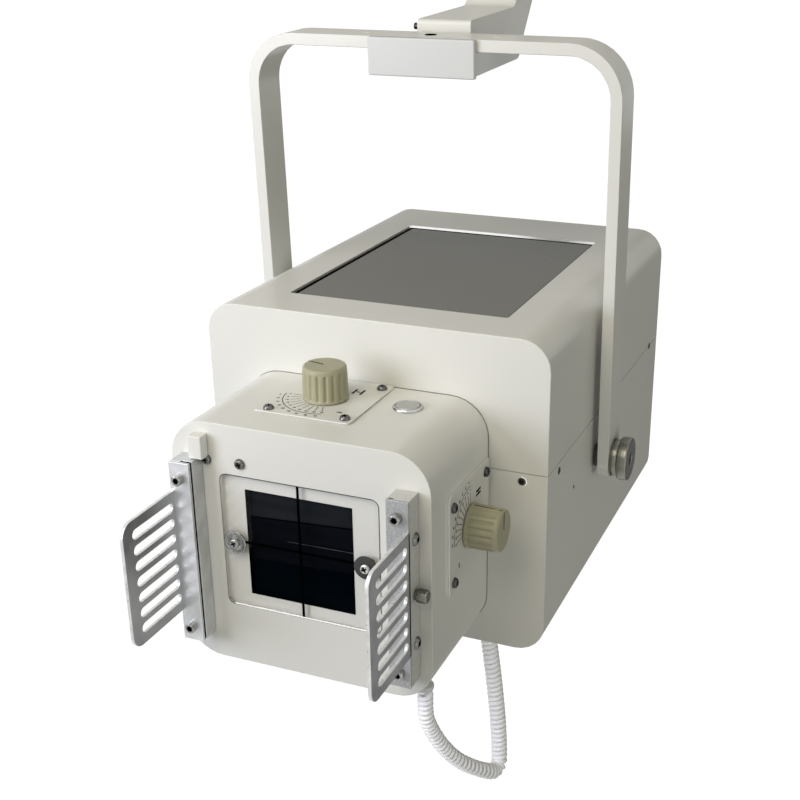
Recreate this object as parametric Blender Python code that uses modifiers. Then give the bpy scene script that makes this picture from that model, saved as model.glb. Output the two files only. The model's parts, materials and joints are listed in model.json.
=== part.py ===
"""Portable x-ray head in its yoke, with the end of the stand's arm that carries it.

Metres, +Z up, the machine's front faces -Y. The origin is the centre of the arm's top flange face.
Two frames carry the pieces. head_frame has x = 0 in the middle of the housing, y = 0 on the
housing's front and z = 0 on its underside. yoke_frame is centred on the tilt axis and leans
forward with the yoke.
"""

import math

import bmesh
import bpy
from mathutils import Matrix, Vector

# Clearances
SEAT_GAP = 0.0003
TILT_GAP = 0.005

# Main housing
HOUSING_WIDTH = 0.243
HOUSING_DEPTH = 0.305
HOUSING_HEIGHT = 0.221
HOUSING_CORNER_R = 0.020
HOUSING_EDGE_R = 0.002
HOUSING_WALL = 0.0025
SEAM_HEIGHT = 0.131
SEAM_GAP = 0.0005

# Touch screen in the housing's top
SCREEN_CENTRE_X = 0.001
SCREEN_FRONT_Y = 0.037
SCREEN_WIDTH = 0.1586
SCREEN_LENGTH = 0.209
SCREEN_CORNER_R = 0.002
SCREEN_RECESS = 0.0012
SCREEN_GLASS_THICK = 0.0018
SCREEN_EDGE_GAP = 0.001
SCREEN_FRAME_RIM = 0.008
SCREEN_FRAME_THICK = 0.006
SCREEN_FRAME_CORNER_R = 0.004
SCREEN_GLASS_EDGE = 0.0003

# Heavy x-ray tank inside the housing
TANK_WIDTH = 0.150
TANK_LENGTH = 0.190
TANK_HEIGHT = 0.150
TANK_EDGE_R = 0.006

# Collimator box on the housing's front
COLLIMATOR_CENTRE_X = -0.006
COLLIMATOR_WIDTH = 0.174
COLLIMATOR_HEIGHT = 0.1655
COLLIMATOR_DEPTH = 0.0955
COLLIMATOR_BOTTOM = 0.012
COLLIMATOR_CORNER_R = 0.0255
COLLIMATOR_EDGE_R = 0.0025
COLLIMATOR_WALL = 0.003
COLLIMATOR_FRONT_WALL = 0.006

# Window plate in the collimator's front, and the square beam opening behind it
PLATE_LEFT = -0.060
PLATE_RIGHT = 0.0475
PLATE_BOTTOM = 0.0535
PLATE_TOP = 0.1445
PLATE_CORNER_R = 0.005
PLATE_THICK = 0.0027
PLATE_EDGE_GAP = 0.0005
PLATE_SET_BACK = 0.0004
BEAM_CENTRE_X = -0.0080
BEAM_CENTRE_Z = 0.0983
BEAM_OPENING = 0.0730
WINDOW_WASHER_R = 0.0072
WINDOW_WASHER_THICK = 0.0012
WINDOW_WASHER_CENTRE_X = -0.0068
WINDOW_WASHER_OFFSET = 0.045
WINDOW_WASHER_Z = 0.0985
WINDOW_WASHER_EDGE = 0.0004
PLATE_EDGE = 0.0003

# Shutter leaves behind the opening: gap between the pair, and how far each reaches past the opening
LEAF_THICK = 0.002
LEAF_OVERLAP = 0.006
LEAF_GAP_HIGH = 0.020
LEAF_GAP_WIDE = 0.070

# Accessory rails and slotted brackets on the collimator's front
RAIL_OFFSET = 0.0722
RAIL_WIDTH = 0.0140
RAIL_DEPTH = 0.0128
RAIL_BOTTOM = 0.0306
RAIL_TOP = 0.1549
RAIL_EDGE = 0.0005
RAIL_SLOT_DEEP = 0.006
RAIL_SLOT_WIDE = 0.001
BRACKET_THICK = 0.0023
WING_LENGTH = 0.054
WING_BOTTOM = 0.0526
WING_TOP = 0.1358
WING_CORNER_R = 0.009
WING_SLOTS = 7
WING_SLOT_PITCH = 0.0105
WING_SLOT_WIDTH = 0.0064
WING_SLOT_MARGIN_ROOT = 0.0025
WING_SLOT_MARGIN_TIP = 0.0095
THUMBSCREW_R = 0.0043
THUMBSCREW_LENGTH = 0.0078
THUMBSCREW_Z = 0.0910
THUMBSCREW_KNURLS = 20
THUMBSCREW_KNURL_DEPTH = 0.0004
THUMBSCREW_EDGE = 0.0005
STOP_BLOCK_INSET = 0.0027
STOP_BLOCK_WIDTH = 0.0092
STOP_BLOCK_DEPTH = 0.0076
STOP_BLOCK_HEIGHT = 0.0152
STOP_BLOCK_EDGE_R = 0.0008

# Field-size dials: a plate and a ribbed knob on the top and on the right side
DIAL_THICK = 0.001
DIAL_CORNER_R = 0.003
TOP_DIAL = {"low": (-0.0485, -0.0694), "high": (0.0170, -0.0015), "knob": (-0.0153, -0.0362)}
SIDE_DIAL = {"low": (-0.0702, 0.0734), "high": (-0.0020, 0.1405), "knob": (-0.0357, 0.1069)}
KNOB_BASE_R = 0.0147
KNOB_TOP_R = 0.0138
KNOB_HEIGHT = 0.0222
KNOB_RIBS = 20
KNOB_RIB_DEPTH = 0.0006
KNOB_EDGE_R = 0.0012

# Push button for the field light
BUTTON_AT = (0.0383, -0.0296)
BUTTON_RING_R = 0.0097
BUTTON_CAP_R = 0.0077
BUTTON_RING_RISE = 0.0015
BUTTON_CAP_RISE = 0.0019
BUTTON_EDGE_GAP = 0.0004
BUTTON_EDGE = 0.0006
BUTTON_DOME = 0.0001

# Tilt axis, seen from the housing's front lower edge
PIVOT_Y = 0.1184
PIVOT_Z = 0.0985
SHAFT_R = 0.005
SHAFT_CLEARANCE = 0.0004
SPACER_R = 0.0085
COLLAR_R = 0.0132
COLLAR_LENGTH = 0.005
COLLAR_EDGE = 0.0008
COLLAR_FLARE = 0.0006
COLLAR_GROOVE = 0.0012
DISC_R = 0.0156
DISC_LENGTH = 0.0075
DISC_EDGE_R = 0.0009
SOCKET_R = 0.0046
SOCKET_DEEP = 0.004
SHAFT_SINK = 0.0015

# Yoke bar
BAR_WIDTH = 0.030
BAR_THICK = 0.008
YOKE_RISE = 0.289
YOKE_BEND_R = 0.036
BAR_EDGE_R = 0.0008
YOKE_LEAN = math.radians(1.95)
CENTRE_BOLT_R = 0.0022
CENTRE_HEAD_R = 0.0037
CENTRE_HEAD_DEEP = 0.003
CENTRE_BOLT_LENGTH = 0.015
CENTRE_HEAD_SINK = 0.0006
CENTRE_SOCKET_R = 0.0015
CENTRE_SOCKET_DEEP = 0.0015

# Carrier that holds the bar, in yoke_frame
CARRIER_X = -0.0017
CARRIER_WIDTH = 0.076
CARRIER_PLATE = 0.004
CARRIER_BLOCK_THICK = 0.0148
CARRIER_LIP = 0.0019
CARRIER_BACK = 0.076
CARRIER_CORNER_R = 0.010
CARRIER_TOP_CORNER_R = 0.003
CARRIER_EDGE_R = 0.0010

# Arm end, in yoke_frame, up to the level flange
ARM_WIDTH = 0.039
ARM_THICK = 0.031
ARM_ABOVE_BAR = 0.0076
ARM_BEHIND_BAR = 0.004
ARM_BEND_Y = 0.110
ARM_BEND_R = 0.008
ARM_HEEL_R = 0.014
ARM_FRONT_R = 0.003
ARM_EDGE_R = 0.0015
RISER_ANGLE = math.radians(41)
FLANGE_RISE = 0.372
FLANGE_SIZE = 0.062
FLANGE_THICK = 0.008
FLANGE_CORNER_R = 0.008
FLANGE_HOLE_R = 0.0033
FLANGE_HOLE_PITCH = 0.044
SET_SCREW_R = 0.0024
SET_SCREW_LENGTH = 0.0028
SET_SCREW_EDGE = 0.0005
SET_SCREW_Y = 0.030
SET_SCREW_BELOW_TOP = 0.006

# Coiled lead from the collimator to the housing, in head_frame
LEAD_OUTER_R = 0.0053
GLAND_R = 0.0058
GLAND_TIP_R = 0.0052
GLAND_LENGTH = 0.004
FRONT_GLAND_INSET = 0.013
FRONT_GLAND_Y = -0.077
REAR_GLAND_INSET = 0.0440
REAR_GLAND_Y = 0.016
LEAD_ROUTE = [
    (0.0672, -0.0740, -0.0150),
    (0.0682, -0.0660, -0.0320),
    (0.0718, -0.0560, -0.0504),
    (0.0764, -0.0420, -0.0693),
    (0.0807, -0.0260, -0.0855),
    (0.0845, -0.0085, -0.1005),
    (0.0868, 0.0040, -0.1085),
    (0.0880, 0.0125, -0.1070),
    (0.0872, 0.0150, -0.0960),
    (0.0850, 0.0155, -0.0740),
    (0.0824, 0.0160, -0.0493),
    (0.0800, 0.0160, -0.0290),
]
LEAD_POINT_SPACING = 0.008

# Rear connection panel
PANEL_WIDTH = 0.150
PANEL_HEIGHT = 0.062
PANEL_THICK = 0.002
PANEL_CORNER_R = 0.004
PANEL_CENTRE_Z = 0.058
PANEL_EDGE = 0.0004
FITTING_EDGE_R = 0.001
INLET_WIDTH = 0.028
INLET_HEIGHT = 0.020
INLET_RISE = 0.004
INLET_WELL = 0.003
INLET_X = 0.046
SWITCH_WIDTH = 0.014
SWITCH_HEIGHT = 0.022
SWITCH_RISE = 0.0045
SWITCH_X = 0.008
ROCKER_R = 0.03
ROCKER_DIP = 0.0015
JACK_R = 0.008
JACK_HOLE_R = 0.005
JACK_RISE = 0.005
JACK_FLOOR = 0.0015
JACK_EDGE = 0.0008
JACK_X = -0.040

# Rubber feet
FOOT_R = 0.011
FOOT_TIP_R = 0.009
FOOT_HEIGHT = 0.007
FOOT_INSET_X = 0.036
FOOT_INSET_Y = 0.040

ROUND_STEPS = 32
ARC_STEPS = 6

# How far a cutter reaches past what it cuts
PAST = 0.01

# name, colour, roughness, metallic
MATERIALS = {
    "ivory_paint": ((0.78, 0.78, 0.74), 0.35, 0.0),
    "screen_glass": ((0.17, 0.17, 0.16), 0.25, 0.0),
    "black_plastic": ((0.03, 0.03, 0.03), 0.45, 0.0),
    "acrylic": ((0.85, 0.86, 0.85), 0.05, 0.0),
    "shutter_lead": ((0.02, 0.02, 0.025), 0.35, 0.3),
    "brushed_aluminium": ((0.72, 0.73, 0.74), 0.3, 1.0),
    "chrome": ((0.75, 0.75, 0.75), 0.12, 1.0),
    "dark_steel": ((0.30, 0.30, 0.28), 0.3, 1.0),
    "olive_plastic": ((0.36, 0.35, 0.23), 0.45, 0.0),
    "dial_plate": ((0.74, 0.73, 0.68), 0.4, 0.0),
    "white_lead": ((0.85, 0.85, 0.85), 0.3, 0.0),
    "rubber": ((0.04, 0.04, 0.04), 0.7, 0.0),
    "tank_steel": ((0.35, 0.36, 0.37), 0.5, 0.8),
}

ALONG_Y = (math.pi / 2, 0.0, 0.0)
ALONG_X = (math.pi / 2, 0.0, math.pi / 2)
TURN_TO_X = (0.0, math.pi / 2, 0.0)


def clear_scene():
    for item in list(bpy.data.objects):
        bpy.data.objects.remove(item, do_unlink=True)


def new_collection(name):
    collection = bpy.data.collections.new(name)
    bpy.context.scene.collection.children.link(collection)
    return collection


def new_material(name, colour, roughness, metallic):
    material = bpy.data.materials.new(name)
    material.use_nodes = True
    shader = material.node_tree.nodes["Principled BSDF"]
    shader.inputs["Base Color"].default_value = (*colour, 1.0)
    shader.inputs["Roughness"].default_value = roughness
    shader.inputs["Metallic"].default_value = metallic
    return material


clear_scene()
PARTS = new_collection("portable_xray_head")
CUTTERS = new_collection("cutters")
PAINTS = {name: new_material(name, *values) for name, values in MATERIALS.items()}


def place(item, parent, paint, location=(0, 0, 0), rotation=(0, 0, 0), collection=None):
    (collection or PARTS).objects.link(item)
    item.parent = parent
    item.location = location
    item.rotation_euler = rotation
    if paint:
        item.data.materials.append(PAINTS[paint])
    return item


def empty(name, location, rotation=(0, 0, 0)):
    item = bpy.data.objects.new(name, None)
    PARTS.objects.link(item)
    item.location = location
    item.rotation_euler = rotation
    return item


def arc(centre, radius, start, end, steps=ARC_STEPS):
    turns = [start + (end - start) * i / steps for i in range(steps + 1)]
    return [(centre[0] + radius * math.cos(a), centre[1] + radius * math.sin(a)) for a in turns]


def rounded(corners, steps=ARC_STEPS):
    """Outline through (x, y, radius) corners, each corner turned into an arc."""
    points = []
    count = len(corners)
    for i, (x, y, radius) in enumerate(corners):
        here = Vector((x, y))
        if radius <= 0:
            points.append((x, y))
            continue
        back = (Vector(corners[i - 1][:2]) - here).normalized()
        ahead = (Vector(corners[(i + 1) % count][:2]) - here).normalized()
        half = back.angle(ahead) / 2
        reach = radius / math.tan(half)
        centre = here + (back + ahead).normalized() * (radius / math.sin(half))
        first = here + back * reach - centre
        last = here + ahead * reach - centre
        start = math.atan2(first.y, first.x)
        sweep = (math.atan2(last.y, last.x) - start + math.pi) % (2 * math.pi) - math.pi
        points += arc(centre, radius, start, start + sweep, steps)
    return points


def box_corners(low, high, radius=0.0):
    (x0, y0), (x1, y1) = low, high
    return [(x0, y0, radius), (x1, y0, radius), (x1, y1, radius), (x0, y1, radius)]


def prism(name, outline, depth):
    """Flat outline extruded evenly about its plane, as a closed mesh object."""
    curve = bpy.data.curves.new(name, "CURVE")
    curve.dimensions = "2D"
    curve.fill_mode = "BOTH"
    curve.extrude = depth / 2
    spline = curve.splines.new("POLY")
    spline.points.add(len(outline) - 1)
    for point, (x, y) in zip(spline.points, outline):
        point.co = (x, y, 0, 1)
    spline.use_cyclic_u = True
    flat = bpy.data.objects.new(name + "_outline", curve)
    PARTS.objects.link(flat)
    graph = bpy.context.evaluated_depsgraph_get()
    mesh = bpy.data.meshes.new_from_object(flat.evaluated_get(graph))
    mesh.name = name
    mesh.materials.clear()
    weld(mesh)
    bpy.data.objects.remove(flat, do_unlink=True)
    return bpy.data.objects.new(name, mesh)


def weld(mesh):
    work = bmesh.new()
    work.from_mesh(mesh)
    bmesh.ops.remove_doubles(work, verts=work.verts, dist=1e-6)
    bmesh.ops.recalc_face_normals(work, faces=work.faces)
    work.to_mesh(mesh)
    work.free()


def turned(name, profile, steps=ROUND_STEPS):
    """Profile of (radius, height) points, from the axis at the top to the axis at the bottom."""
    mesh = bpy.data.meshes.new(name)
    verts = [(radius, 0, height) for radius, height in profile]
    mesh.from_pydata(verts, [(i, i + 1) for i in range(len(verts) - 1)], [])
    item = bpy.data.objects.new(name, mesh)
    screw = item.modifiers.new("Turn", "SCREW")
    screw.angle = 2 * math.pi
    screw.steps = screw.render_steps = steps
    screw.use_merge_vertices = True
    screw.merge_threshold = 0.00001
    screw.use_smooth_shade = True
    return item


def rod(name, radius, length, steps=ROUND_STEPS):
    """Plain cylinder about local Z, centred on its origin."""
    mesh = bpy.data.meshes.new(name)
    work = bmesh.new()
    bmesh.ops.create_cone(
        work, cap_ends=True, segments=steps, radius1=radius, radius2=radius, depth=length
    )
    work.to_mesh(mesh)
    work.free()
    return bpy.data.objects.new(name, mesh)


def block(name, size):
    mesh = bpy.data.meshes.new(name)
    work = bmesh.new()
    bmesh.ops.create_cube(work, size=1.0, matrix=Matrix.Diagonal((*size, 1.0)))
    work.to_mesh(mesh)
    work.free()
    return bpy.data.objects.new(name, mesh)


def soften(item, width, segments=2, keep_sharp=None):
    """Bevel the square edges, leaving out those whose middle keep_sharp names."""
    mesh = item.data
    weights = mesh.attributes.new("bevel_weight_edge", "FLOAT", "EDGE")
    work = bmesh.new()
    work.from_mesh(mesh)
    for edge in work.edges:
        middle = (edge.verts[0].co + edge.verts[1].co) / 2
        square = edge.calc_face_angle(0) > math.radians(40)
        wanted = square and not (keep_sharp and keep_sharp(middle))
        weights.data[edge.index].value = 1.0 if wanted else 0.0
    work.free()
    bevel = item.modifiers.new("Soft edges", "BEVEL")
    bevel.limit_method = "WEIGHT"
    bevel.width = width
    bevel.segments = segments
    return item


def cut(item, cutter, parent, location=(0, 0, 0), rotation=(0, 0, 0), operation="DIFFERENCE"):
    place(cutter, parent, None, location, rotation, CUTTERS)
    cutter.hide_render = True
    cutter.display_type = "WIRE"
    boolean = item.modifiers.new(cutter.name, "BOOLEAN")
    boolean.operation = operation
    boolean.solver = "EXACT"
    boolean.object = cutter


# Places that follow from the sizes above
YOKE_INNER = HOUSING_WIDTH / 2 + TILT_GAP
YOKE_OUTER = YOKE_INNER + BAR_THICK
BAR_UNDERSIDE = YOKE_RISE - BAR_THICK
CARRIER_LOW = BAR_UNDERSIDE - SEAT_GAP - CARRIER_BLOCK_THICK
ARM_TOP = YOKE_RISE + ARM_ABOVE_BAR
ARM_LOW = ARM_TOP - ARM_THICK
ARM_FRONT = BAR_WIDTH / 2 + ARM_BEHIND_BAR
COLLIMATOR_TOP = COLLIMATOR_BOTTOM + COLLIMATOR_HEIGHT
COLLIMATOR_SIDE = COLLIMATOR_CENTRE_X + COLLIMATOR_WIDTH / 2
FLANGE_LOW = FLANGE_RISE - FLANGE_THICK
PANEL_FACE = HOUSING_DEPTH + SEAT_GAP + PANEL_THICK


def leaned(y, z):
    """Point of yoke_frame seen from the tilt axis in the level frame."""
    return (
        y * math.cos(YOKE_LEAN) - z * math.sin(YOKE_LEAN),
        y * math.sin(YOKE_LEAN) + z * math.cos(YOKE_LEAN),
    )


def riser_front(z):
    """Where the riser's front face is at a level height above the tilt axis."""
    start_y, start_z = leaned(ARM_BEND_Y, ARM_TOP)
    return start_y + (z - start_z) * math.tan(RISER_ANGLE - YOKE_LEAN)


RISER_LEVEL_DEPTH = ARM_THICK / math.cos(RISER_ANGLE - YOKE_LEAN)
FLANGE_Y = riser_front(FLANGE_LOW) + RISER_LEVEL_DEPTH / 2
PIVOT = Vector((0, -FLANGE_Y, -FLANGE_RISE))
HEAD = empty("head_frame", PIVOT - Vector((0, PIVOT_Y, PIVOT_Z)))
YOKE = empty("yoke_frame", PIVOT, (YOKE_LEAN, 0, 0))
ARM = empty("arm_frame", PIVOT)


def make_arm():
    heel_y = ARM_BEND_Y + ARM_THICK * (1 - math.sin(RISER_ANGLE)) / math.cos(RISER_ANGLE)
    heel = leaned(heel_y, ARM_LOW)
    top = FLANGE_LOW - SEAT_GAP
    corners = [
        (*leaned(ARM_FRONT, ARM_LOW), ARM_FRONT_R),
        (*heel, ARM_HEEL_R),
        (riser_front(top) + RISER_LEVEL_DEPTH, top, 0),
        (riser_front(top), top, 0),
        (*leaned(ARM_BEND_Y, ARM_TOP), ARM_BEND_R),
        (*leaned(ARM_FRONT, ARM_TOP), ARM_FRONT_R),
    ]
    arm = prism("arm_end", rounded(corners), ARM_WIDTH)
    soften(arm, ARM_EDGE_R, 2, lambda middle: middle.y > top - 0.0001)
    place(arm, ARM, "ivory_paint", rotation=ALONG_X)

    half = FLANGE_SIZE / 2
    flange = prism(
        "arm_flange", rounded(box_corners((-half, -half), (half, half), FLANGE_CORNER_R)), FLANGE_THICK
    )
    middle = (0, FLANGE_Y, FLANGE_RISE - FLANGE_THICK / 2)
    place(flange, ARM, "ivory_paint", middle)
    for i, (sx, sy) in enumerate(((-1, -1), (1, -1), (1, 1), (-1, 1))):
        spot = (sx * FLANGE_HOLE_PITCH / 2, FLANGE_Y + sy * FLANGE_HOLE_PITCH / 2, middle[2])
        cut(flange, rod(f"flange_hole_{i}", FLANGE_HOLE_R, 2 * FLANGE_THICK, 24), ARM, spot)

    screw = turned(
        "arm_set_screw",
        [(0, SET_SCREW_LENGTH), (SET_SCREW_R - SET_SCREW_EDGE, SET_SCREW_LENGTH),
         (SET_SCREW_R, SET_SCREW_LENGTH - SET_SCREW_EDGE), (SET_SCREW_R, 0), (0, 0)],
        20,
    )
    spot = (-ARM_WIDTH / 2 - SEAT_GAP, SET_SCREW_Y, ARM_TOP - SET_SCREW_BELOW_TOP)
    place(screw, YOKE, "black_plastic", spot, (0, -math.pi / 2, 0))


def make_carrier():
    plate_back = -BAR_WIDTH / 2 - SEAT_GAP
    plate_front = plate_back - CARRIER_PLATE
    seat = BAR_UNDERSIDE - SEAT_GAP
    corners = [
        (plate_front, CARRIER_LOW - CARRIER_LIP, 0),
        (plate_back, CARRIER_LOW - CARRIER_LIP, 0),
        (plate_back, CARRIER_LOW, 0),
        (CARRIER_BACK, CARRIER_LOW, CARRIER_CORNER_R),
        (CARRIER_BACK, seat, CARRIER_TOP_CORNER_R),
        (plate_back, seat, 0),
        (plate_back, YOKE_RISE, 0),
        (plate_front, YOKE_RISE, 0),
    ]
    carrier = prism("yoke_carrier", rounded(corners), CARRIER_WIDTH)
    soften(carrier, CARRIER_EDGE_R, 2, lambda middle: middle.x > plate_back - 0.0001)
    place(carrier, YOKE, "ivory_paint", (CARRIER_X, 0, 0), ALONG_X)
    slot_front = ARM_FRONT - SEAT_GAP
    slot_length = CARRIER_BACK + PAST - slot_front
    slot_height = CARRIER_BLOCK_THICK + 2 * PAST
    slot = block("arm_slot", (ARM_WIDTH + 2 * SEAT_GAP, slot_length, slot_height))
    cut(carrier, slot, YOKE, (0, slot_front + slot_length / 2, (CARRIER_LOW + seat) / 2))
    hole = rod("carrier_bolt_hole", CENTRE_BOLT_R + SEAT_GAP, 2 * (CARRIER_BLOCK_THICK + PAST), 20)
    cut(carrier, hole, YOKE, (CARRIER_X, 0, BAR_UNDERSIDE))


def make_yoke():
    foot = -BAR_WIDTH / 2 - PAST
    inner_r = YOKE_BEND_R - BAR_THICK
    corners = [
        (-YOKE_OUTER, foot, 0),
        (-YOKE_INNER, foot, 0),
        (-YOKE_INNER, BAR_UNDERSIDE, inner_r),
        (YOKE_INNER, BAR_UNDERSIDE, inner_r),
        (YOKE_INNER, foot, 0),
        (YOKE_OUTER, foot, 0),
        (YOKE_OUTER, YOKE_RISE, YOKE_BEND_R),
        (-YOKE_OUTER, YOKE_RISE, YOKE_BEND_R),
    ]
    yoke = prism("yoke", rounded(corners, 10), BAR_WIDTH)
    soften(yoke, BAR_EDGE_R, 1)
    place(yoke, YOKE, "ivory_paint", rotation=ALONG_Y)
    half = BAR_WIDTH / 2
    reach = YOKE_RISE + PAST
    foot_arc = arc((0, 0), half, math.pi, 2 * math.pi, 12)
    side = foot_arc + [(half, reach), (-half, reach)]
    rounder = prism("leg_ends", side, 2 * (YOKE_OUTER + PAST))
    cut(yoke, rounder, YOKE, rotation=ALONG_X, operation="INTERSECT")
    shaft_hole = rod("shaft_hole", SHAFT_R + SHAFT_CLEARANCE, 2 * (YOKE_OUTER + 1.5 * PAST))
    cut(yoke, shaft_hole, YOKE, rotation=TURN_TO_X)
    bolt_hole = rod("bolt_hole", CENTRE_BOLT_R + SEAT_GAP, 2 * (BAR_THICK + PAST), 20)
    cut(yoke, bolt_hole, YOKE, (CARRIER_X, 0, BAR_UNDERSIDE))
    head_well = rod("bolt_head_well", CENTRE_HEAD_R + SEAT_GAP, 2 * CENTRE_HEAD_DEEP, 24)
    cut(yoke, head_well, YOKE, (CARRIER_X, 0, YOKE_RISE))

    head_top = YOKE_RISE - CENTRE_HEAD_SINK
    socket_floor = head_top - CENTRE_SOCKET_DEEP
    head_low = YOKE_RISE - CENTRE_HEAD_DEEP + SEAT_GAP
    tip = YOKE_RISE - CENTRE_BOLT_LENGTH
    bolt = turned(
        "yoke_centre_bolt",
        [(0, socket_floor), (CENTRE_SOCKET_R, socket_floor), (CENTRE_SOCKET_R, head_top),
         (CENTRE_HEAD_R, head_top), (CENTRE_HEAD_R, head_low), (CENTRE_BOLT_R, head_low),
         (CENTRE_BOLT_R, tip), (0, tip)],
        24,
    )
    place(bolt, YOKE, "dark_steel", (CARRIER_X, 0, 0))


def make_pivots():
    """Spacer, collar and clamp disc on each end of the tilt axis; they turn with the head."""
    for side, sign in (("left", -1), ("right", 1)):
        turn = (0, sign * math.pi / 2, 0)
        spacer_length = TILT_GAP - 2 * SEAT_GAP
        spacer = turned(
            f"pivot_spacer_{side}",
            [(SHAFT_R + SEAT_GAP, 0), (SHAFT_R + SEAT_GAP, spacer_length), (SPACER_R, spacer_length),
             (SPACER_R, 0), (SHAFT_R + SEAT_GAP, 0)],
        )
        at = (sign * (HOUSING_WIDTH / 2 + SEAT_GAP), PIVOT_Y, PIVOT_Z)
        place(spacer, HEAD, "black_plastic", at, turn)

        collar_at = YOKE_OUTER + SEAT_GAP
        step = COLLAR_LENGTH
        face = COLLAR_LENGTH + DISC_LENGTH
        edge = DISC_EDGE_R
        groove = COLLAR_GROOVE
        shaft_end = HOUSING_WIDTH / 2 - SHAFT_SINK - collar_at
        knob = turned(
            f"pivot_knob_{side}",
            [(0, face - SOCKET_DEEP), (SOCKET_R, face - SOCKET_DEEP), (SOCKET_R, face),
             (DISC_R - edge, face), (DISC_R, face - edge), (DISC_R, step + edge),
             (DISC_R - edge, step), (COLLAR_R - COLLAR_EDGE, step), (COLLAR_R, step - COLLAR_EDGE),
             (COLLAR_R, groove), (COLLAR_R - groove, groove), (COLLAR_R - groove, groove / 2),
             (COLLAR_R + COLLAR_FLARE, groove / 2), (COLLAR_R + COLLAR_FLARE, 0), (SHAFT_R, 0),
             (SHAFT_R, shaft_end), (0, shaft_end)],
        )
        place(knob, HEAD, "dark_steel", (sign * collar_at, PIVOT_Y, PIVOT_Z), turn)


def shell_half(name, z_low, z_high, top):
    """Upper or lower half of the housing: a tray open at the seam."""
    half = HOUSING_WIDTH / 2
    radius = HOUSING_CORNER_R
    inner = half - HOUSING_WALL
    inner_r = radius - HOUSING_WALL
    low_r, high_r = (0, radius) if top else (radius, 0)
    corners = [(-half, z_low, low_r), (half, z_low, low_r),
               (half, z_high, high_r), (-half, z_high, high_r)]
    shell = prism(name, rounded(corners), HOUSING_DEPTH)
    seam = z_low if top else z_high
    soften(shell, HOUSING_EDGE_R, 2, lambda middle: abs(middle.y - seam) < 0.0001)
    place(shell, HEAD, "ivory_paint", (0, HOUSING_DEPTH / 2, 0), ALONG_Y)
    if top:
        floor, roof = z_low - PAST, z_high - HOUSING_WALL
        rounds = (0, inner_r)
    else:
        floor, roof = z_low + HOUSING_WALL, z_high + PAST
        rounds = (inner_r, 0)
    hollow = [(-inner, floor, rounds[0]), (inner, floor, rounds[0]),
              (inner, roof, rounds[1]), (-inner, roof, rounds[1])]
    cavity = prism(name + "_cavity", rounded(hollow), HOUSING_DEPTH - 2 * HOUSING_WALL)
    cut(shell, cavity, HEAD, (0, HOUSING_DEPTH / 2, 0), ALONG_Y)
    return shell


def make_housing():
    shell_half("housing_lower", 0, SEAM_HEIGHT - SEAM_GAP / 2, False)
    upper = shell_half("housing_upper", SEAM_HEIGHT + SEAM_GAP / 2, HOUSING_HEIGHT, True)
    for side, sign in (("left", -1), ("right", 1)):
        hole = rod(f"pivot_seat_{side}", SHAFT_R + SEAT_GAP, 2 * PAST)
        lower = PARTS.objects["housing_lower"]
        cut(lower, hole, HEAD, (sign * HOUSING_WIDTH / 2, PIVOT_Y, PIVOT_Z), TURN_TO_X)

    centre = (SCREEN_CENTRE_X, SCREEN_FRONT_Y + SCREEN_LENGTH / 2)
    half_x, half_y = SCREEN_WIDTH / 2, SCREEN_LENGTH / 2

    def plate(name, grow, thick, radius):
        low = (-half_x - grow, -half_y - grow)
        high = (half_x + grow, half_y + grow)
        return prism(name, rounded(box_corners(low, high, radius), 3), thick)

    opening = plate("screen_opening", 0, 4 * HOUSING_WALL, SCREEN_CORNER_R)
    cut(upper, opening, HEAD, (*centre, HOUSING_HEIGHT))
    glass_top = HOUSING_HEIGHT - SCREEN_RECESS
    glass = plate("screen_glass", -SCREEN_EDGE_GAP, SCREEN_GLASS_THICK, SCREEN_CORNER_R / 2)
    soften(glass, SCREEN_GLASS_EDGE, 1)
    place(glass, HEAD, "screen_glass", (*centre, glass_top - SCREEN_GLASS_THICK / 2))
    frame_top = HOUSING_HEIGHT - HOUSING_WALL - SEAT_GAP
    frame = plate("screen_frame", SCREEN_FRAME_RIM, SCREEN_FRAME_THICK, SCREEN_FRAME_CORNER_R)
    place(frame, HEAD, "black_plastic", (*centre, frame_top - SCREEN_FRAME_THICK / 2))
    well_floor = glass_top - SCREEN_GLASS_THICK - SEAT_GAP
    well = plate("screen_well", 0, PAST, SCREEN_CORNER_R)
    cut(frame, well, HEAD, (*centre, well_floor + PAST / 2))

    tank = block("xray_tank", (TANK_WIDTH, TANK_LENGTH, TANK_HEIGHT))
    soften(tank, TANK_EDGE_R, 2)
    rest = HOUSING_WALL + SEAT_GAP
    spot = (COLLIMATOR_CENTRE_X, rest + TANK_LENGTH / 2, rest + TANK_HEIGHT / 2)
    place(tank, HEAD, "tank_steel", spot)


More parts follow.
